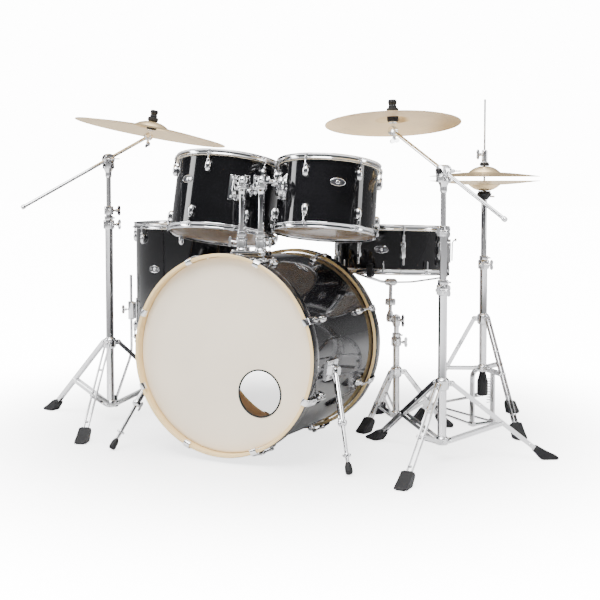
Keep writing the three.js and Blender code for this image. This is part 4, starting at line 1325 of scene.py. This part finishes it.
HAT_SEAT = 771.0  # height of the seat under the lower cymbal
HAT_OPENING = 14
HAT_DIAMETER = 14 * INCH
ROD_RADIUS = 3.2
SEAT_BORE = 4.4
YOKE_HALF = 42  # of the yoke's uprights from the stand's line
TOE = np.array([16.0, 0, 95.0])


def build_hihat():
    line, _ = stand_line("hihat_stand")
    hinge = pin("hihat_footboard_press")
    heel = unit((hinge - line) * (1, 1, 0))
    reach = np.linalg.norm((hinge - line)[:2])
    side = np.cross(UP, heel)
    build_pedal(reach, (line, np.column_stack([heel, side, UP])))
    build_hats(line, side)


def build_pedal(reach, place):
    """The yoke, the heel plate, the spring, the footboard and the chain, drawn with x towards the heel."""
    top = STANDS["hihat_stand"]["bottom"] + 6
    half = YOKE_HALF
    yoke = [(-half, 4), (-half, top - 2), (0, top + 4), (half, top - 2), (half, 4)]
    metal = [ribbon(soften([(0, y, z) for y, z in yoke], 24, 6), 20, 7, RIGHT)]
    for y in (-half, half):
        metal.append(block((26, 14, 13), 3, 1.5).at((0, y, 7)))
        metal.append(rod((0, y, 6), (reach, np.sign(y) * 24, 6), 3.4, 18))
    metal.append(block((16, 2 * half, 6), 2, 1).at((0, 0, 4)))
    heel_plate = soften([(-24, -36), (26, -30), (26, 30), (-24, 36)], 10, 5, closed=True)[:-1]
    metal.append(slab(heel_plate, 6, 1).at((reach, 0, 3.4)))
    metal += [rod((reach, y, 16), (reach, y + 14, 16), 6.5, 24) for y in (-36, 22)]
    piece("hihat_yoke", "kit", {"chrome": metal}, ["hihat_base"], place)
    housing = turned([(4, 98), (15, 98), (18, 103), (18, 146), (14, 158), (10, 176), (4, 176)], 2, 3, 48)
    spring = coil((0, -27, 70), (0, -27, 150), 7, 1.3, 9)
    piece("hihat_spring_housing", "kit", {"plastic": [housing], "chrome": [spring]}, place=place)

    start = np.array([reach - 3, 0, 17.5])
    slope = unit(TOE - start)
    board_turn = np.column_stack([slope, AHEAD, np.cross(slope, AHEAD)])
    length = np.linalg.norm(TOE - start) - 2
    edge = [(0, 26), (40, 31), (length - 40, 37), (length - 4, 20)]
    outline = [(x, -y) for x, y in edge] + [(length, 0)] + edge[::-1]
    outline = [(0, -26), *outline[1:]]
    board = [slab(soften(outline, 12, 4, closed=True)[:-1], 4.5, 1.2)]
    for y in range(-24, 25, 8):
        ends = np.array([[26.0, y, 2.6], [length - 34.0, y * 1.25, 2.6]])
        board.append(strip(*ends, UP, 0, 3.6, 1.8))
    board += [rod((2, -21, 0), (2, 21, 0), 5, 24), block((22, 16, 10), 3, 1.2).at((length - 8, 0, -4))]
    board = [part.at(start, board_turn) for part in board]
    piece("hihat_board", "hihat_footboard", {"chrome": board}, ["hihat_footboard"], place)

    # A chain of flat links hangs at the toe, under the spring housing.
    chain = []
    for i in range(5):
        link = [(0, 0, 112 - 3 * i), (0, 0, 106 - 3 * i)]
        chain.append(ribbon(link, 8 if i % 2 else 5, 2.4, AHEAD))
    chain.append(rod((0, -6, 109), (0, 6, 109), 2.4, 14))
    piece("hihat_chain", "hihat_footboard", {"wire": chain}, place=place)


def build_hats(line, side):
    """The sliding tube with its seat, the two cymbals, and the pull rod with its clutch."""
    inner = STANDS["hihat_stand"]["bore"] - TUBE_CLEARANCE
    low = corners_of("hihat_tube")[0][2]
    seat = line + UP * HAT_SEAT
    cup = [(SEAT_BORE, -28), (12, -28), (23, -13), (24, -9), (24, -7), (SEAT_BORE, -7)]
    felt = [(SEAT_BORE, -7), (20, -7), (21, -5), (20, 0), (SEAT_BORE, 0)]
    pipe = turned(ring_section(SEAT_BORE, inner, low, HAT_SEAT - 26), 0.5, 2, 44)
    skins = {
        "chrome": [pipe.at(line), rod((14, 0, -18), (34, 0, -18), 3, 16).at(seat)],
        "felt": [turned(felt, 1.2, 2, 44).at(seat)],
        "plastic": [turned(cup, 1.5, 3, 44).at(seat)],
    }
    piece("hihat_upper_tube", "hihat_tube", skins, ["hihat_tube"])

    outline, rise = cymbal_outline(HAT_DIAMETER)
    plate = lathe(outline, 176)
    lower = plate.at(turn=UPSIDE_DOWN).at(seat + UP * (0.3 + rise))
    piece("hihat_lower_plate", "hihat_tube", {"bronze": [lower]}, ["hihat_bottom_cymbal"], crease=60)
    edge = 0.3 + rise + HAT_OPENING + CAD_WALL
    upper = plate.at(seat + UP * edge)
    piece("hihat_upper_plate", "hihat_pull_rod", {"bronze": [upper]}, ["hihat_top_cymbal"], crease=60)

    low, high = (corner[2] for corner in corners_of("hihat_pull_rod"))
    bell = seat + UP * (edge + rise)
    r = ROD_RADIUS
    body = turned([(r, 13), (9, 13), (9.5, 16), (9.5, 50), (7, 53), (r, 53)], 1.2, 2, 36)
    knob = turned(ring_section(r, 10, -13, -6), 1, 2, 60, 12, 0.05)
    disc = turned(ring_section(r, 13, 10.5, 13.5), 0.8, 2, 60, 12, 0.04)
    pull = [rod(line + UP * low, line + UP * high, r, 20), *[part.at(bell) for part in (body, knob)]]
    pull += [wing_bolt(13, 3, 34).at(bell + UP * 38 + side * 8, basis(side, UP)), disc.at(bell)]
    upper_felt = turned([(r, 0.4), (15, 0.4), (16, 3), (15, 10.5), (r, 10.5)], 1.6, 3, 44)
    lower_felt = turned(ring_section(r, 11, -6, -3.4), 0.8, 2, 40)
    felts = [part.at(bell) for part in (upper_felt, lower_felt)]
    piece("hihat_clutch_and_rod", "hihat_pull_rod", {"chrome": pull, "felt": felts}, ["hihat_pull_rod"])


# ------------------------------------------------------------------ floor, light and camera

def light(name, place, size, power):
    lamp = bpy.data.lights.new(name, "AREA")
    lamp.shape = "RECTANGLE"
    lamp.size, lamp.size_y = size
    lamp.energy = power
    holder = bpy.data.objects.new(name, lamp)
    bpy.context.scene.collection.objects.link(holder)
    z = unit(np.array(place) - LIT_POINT)
    x = unit(np.cross(UP, z))
    matrix = np.eye(4)
    matrix[:3, :3] = np.column_stack([x, np.cross(z, x), z])
    matrix[:3, 3] = place
    holder.matrix_world = Matrix(matrix.tolist())


LIT_POINT = (0.0, 0.0, 0.5)
# Each light's place, its width and height, and its power.
LIGHTS = {
    "key_light": ((-3.6, -1.9, 2.2), (1.0, 2.8), 110),
    "fill_light": ((3.9, 1.0, 2.0), (0.8, 2.8), 60),
    "front_light": ((0.4, -3.0, 4.4), (3.0, 2.0), 330),
    "top_light": ((0.0, -0.2, 3.8), (3.0, 2.4), 110),
}
FLOOR_GLOW = (2.6, 14.0)
FLOOR_FADE = (0.5, 1.7)
FLOOR_SIDE = 30.0
# Colour of the studio from the horizon (0) up to the ceiling (1), as reflections see it.
STUDIO_SKY = [
    (0.0, (0.55, 0.55, 0.55)), (0.10, (0.42, 0.42, 0.43)), (0.22, (0.06, 0.06, 0.065)),
    (0.45, (0.20, 0.21, 0.22)), (0.62, (0.9, 0.9, 0.9)), (1.0, (1.2, 1.2, 1.2)),
]
STUDIO_STRENGTH = 0.8
BACKDROP_STRENGTH = 14.0
# Where the camera stands from the middle of the bass drum's front rim, its height in metres, and
# its turn in degrees.
CAMERA_OFFSET = (1.508, -2.638)
CAMERA_HEIGHT = 0.805
CAMERA_TURN = (87.0, 0.0, 25.48)


def build_world():
    """A studio that the camera sees as a white backdrop and reflections see as light and dark bands."""
    world = bpy.data.worlds.new("studio")
    bpy.context.scene.world = world
    world.use_nodes = True
    nodes, links = world.node_tree.nodes, world.node_tree.links
    backdrop = nodes["Background"]
    backdrop.inputs["Color"].default_value = (1, 1, 1, 1)
    backdrop.inputs["Strength"].default_value = BACKDROP_STRENGTH
    kinds = ("Background", "ValToRGB", "TexCoord", "SeparateXYZ", "LightPath", "MixShader")
    studio, ramp, place, height, seen, mixed = (nodes.new("ShaderNode" + kind) for kind in kinds)
    Finish.set_stops(ramp.color_ramp, STUDIO_SKY)
    studio.inputs["Strength"].default_value = STUDIO_STRENGTH
    links.new(place.outputs["Generated"], height.inputs[0])
    links.new(height.outputs["Z"], ramp.inputs["Fac"])
    links.new(ramp.outputs["Color"], studio.inputs["Color"])
    links.new(seen.outputs["Is Camera Ray"], mixed.inputs[0])
    links.new(studio.outputs[0], mixed.inputs[1])
    links.new(backdrop.outputs[0], mixed.inputs[2])
    links.new(mixed.outputs[0], nodes["World Output"].inputs["Surface"])


def build_floor():
    mesh = bpy.data.meshes.new("floor")
    corners = [(x * FLOOR_SIDE, y * FLOOR_SIDE, -0.001) for x, y in ((-1, -1), (1, -1), (1, 1), (-1, 1))]
    mesh.from_pydata(corners, [], [(0, 1, 2, 3)])
    floor = bpy.data.objects.new("floor", mesh)
    bpy.context.scene.collection.objects.link(floor)
    paper = Finish("studio_floor", Roughness=0.7)
    paper.shader.inputs["Base Color"].default_value = (0.9, 0.9, 0.91, 1)
    paper.shader.inputs["Emission Color"].default_value = (1, 1, 1, 1)
    spot = paper.node("ShaderNodeTexCoord", output="Object")
    distance = paper.node("ShaderNodeVectorMath", {"operation": "LENGTH"}, {0: spot}, output=1)
    levels = dict(enumerate((distance, *FLOOR_FADE, *FLOOR_GLOW)))
    away = paper.node("ShaderNodeMapRange", {"interpolation_type": "SMOOTHSTEP"}, levels)
    paper.feed("Emission Strength", paper.node("ShaderNodeLightPath") * away)
    mesh.materials.append(paper.material)


def build_camera():
    lens = bpy.data.cameras.new("camera")
    lens.lens = 64.3
    lens.sensor_width = 36.0
    lens.shift_y = -0.1055
    camera = bpy.data.objects.new("camera", lens)
    bpy.context.scene.collection.objects.link(camera)
    middle, turn = bass_place()
    rim = (middle + turn[:, 2] * in_bass_frame("bass_front_hoop")[:, 2].max()) * TO_METRES
    camera.location = (rim[0] + CAMERA_OFFSET[0], rim[1] + CAMERA_OFFSET[1], CAMERA_HEIGHT)
    camera.rotation_euler = np.radians(CAMERA_TURN)
    bpy.context.scene.camera = camera


def build_stage():
    build_world()
    build_floor()
    for name, facts in LIGHTS.items():
        light(name, *facts)
    build_camera()


# ------------------------------------------------------------------ operators and panel

# The body that each drum rides on.
DRUM_BODIES = {"left_tom": "left_tom", "right_tom": "right_tom", "floor_tom": "kit", "snare": "snare_drum"}


class DRUMKIT_OT_bass_drum(bpy.types.Operator):
    """Build the bass drum with its hoops, heads, claws and port"""

    bl_idname = "drum_kit.bass_drum"
    bl_label = "Bass Drum"

    def execute(self, context):
        build_bass_drum()
        return {"FINISHED"}


class DRUMKIT_OT_drums(bpy.types.Operator):
    """Build the rack toms, the floor tom and the snare drum"""

    bl_idname = "drum_kit.drums"
    bl_label = "Small Drums"

    def execute(self, context):
        for name, body in DRUM_BODIES.items():
            build_drum(name, body)
        build_snare_fittings()
        return {"FINISHED"}


class DRUMKIT_OT_tom_holder(bpy.types.Operator):
    """Build the tom holder with its posts, cups and ball arms"""

    bl_idname = "drum_kit.tom_holder"
    bl_label = "Tom Holder"

    def execute(self, context):
        build_tom_holder()
        return {"FINISHED"}


class DRUMKIT_OT_drum_legs(bpy.types.Operator):
    """Build the bass drum's spurs and the floor tom's legs"""

    bl_idname = "drum_kit.drum_legs"
    bl_label = "Spurs and Legs"

    def execute(self, context):
        build_spurs()
        build_floor_legs()
        return {"FINISHED"}


class DRUMKIT_OT_tripods(bpy.types.Operator):
    """Build the folding legs and braces of the four stands"""

    bl_idname = "drum_kit.tripods"
    bl_label = "Tripods"

    def execute(self, context):
        for stand in STANDS:
            build_tripod(stand)
        return {"FINISHED"}


class DRUMKIT_OT_stand_tubes(bpy.types.Operator):
    """Build the tubes, collars and clamps of the stands"""

    bl_idname = "drum_kit.stand_tubes"
    bl_label = "Stand Tubes"

    def execute(self, context):
        build_stand_tubes()
        return {"FINISHED"}


class DRUMKIT_OT_cymbals(bpy.types.Operator):
    """Build the ride and crash cymbals on their booms"""

    bl_idname = "drum_kit.cymbals"
    bl_label = "Booms and Cymbals"

    def execute(self, context):
        build_boom("ride", 20 * INCH)
        build_boom("crash", 16 * INCH)
        return {"FINISHED"}


class DRUMKIT_OT_basket(bpy.types.Operator):
    """Build the cradle that holds the snare drum"""

    bl_idname = "drum_kit.basket"
    bl_label = "Snare Basket"

    def execute(self, context):
        build_basket()
        return {"FINISHED"}


class DRUMKIT_OT_hihat(bpy.types.Operator):
    """Build the hi-hat's pedal, yoke, rods and cymbals"""

    bl_idname = "drum_kit.hihat"
    bl_label = "Hi-Hat"

    def execute(self, context):
        build_hihat()
        return {"FINISHED"}


class DRUMKIT_OT_stage(bpy.types.Operator):
    """Build the floor, the lights and the camera"""

    bl_idname = "drum_kit.stage"
    bl_label = "Stage"

    def execute(self, context):
        build_stage()
        return {"FINISHED"}


OPERATORS = (
    DRUMKIT_OT_bass_drum,
    DRUMKIT_OT_drums,
    DRUMKIT_OT_tom_holder,
    DRUMKIT_OT_drum_legs,
    DRUMKIT_OT_tripods,
    DRUMKIT_OT_stand_tubes,
    DRUMKIT_OT_cymbals,
    DRUMKIT_OT_basket,
    DRUMKIT_OT_hihat,
    DRUMKIT_OT_stage,
)


class VIEW3D_PT_drum_kit(bpy.types.Panel):
    bl_label = "Drum Kit"
    bl_space_type = "VIEW_3D"
    bl_region_type = "UI"
    bl_category = "Drum Kit"

    def draw(self, context):
        for group in (context.scene.drum_kit_sizes, context.scene.drum_kit_finishes):
            for name in group.__annotations__:
                self.layout.prop(group, name)
        for operator in OPERATORS:
            self.layout.operator(operator.bl_idname)


CLASSES = (DrumKitFinishes, DrumKitSizes, *OPERATORS, VIEW3D_PT_drum_kit)


def register():
    for item in CLASSES:
        bpy.utils.register_class(item)
    bpy.types.Scene.drum_kit_finishes = bpy.props.PointerProperty(type=DrumKitFinishes)
    bpy.types.Scene.drum_kit_sizes = bpy.props.PointerProperty(type=DrumKitSizes)


def unregister():
    del bpy.types.Scene.drum_kit_sizes
    del bpy.types.Scene.drum_kit_finishes
    for item in reversed(CLASSES):
        bpy.utils.unregister_class(item)


def main():
    register()
    for operator in OPERATORS:
        group, name = operator.bl_idname.split(".")
        getattr(getattr(bpy.ops, group), name)()


if __name__ == "__main__":
    main()
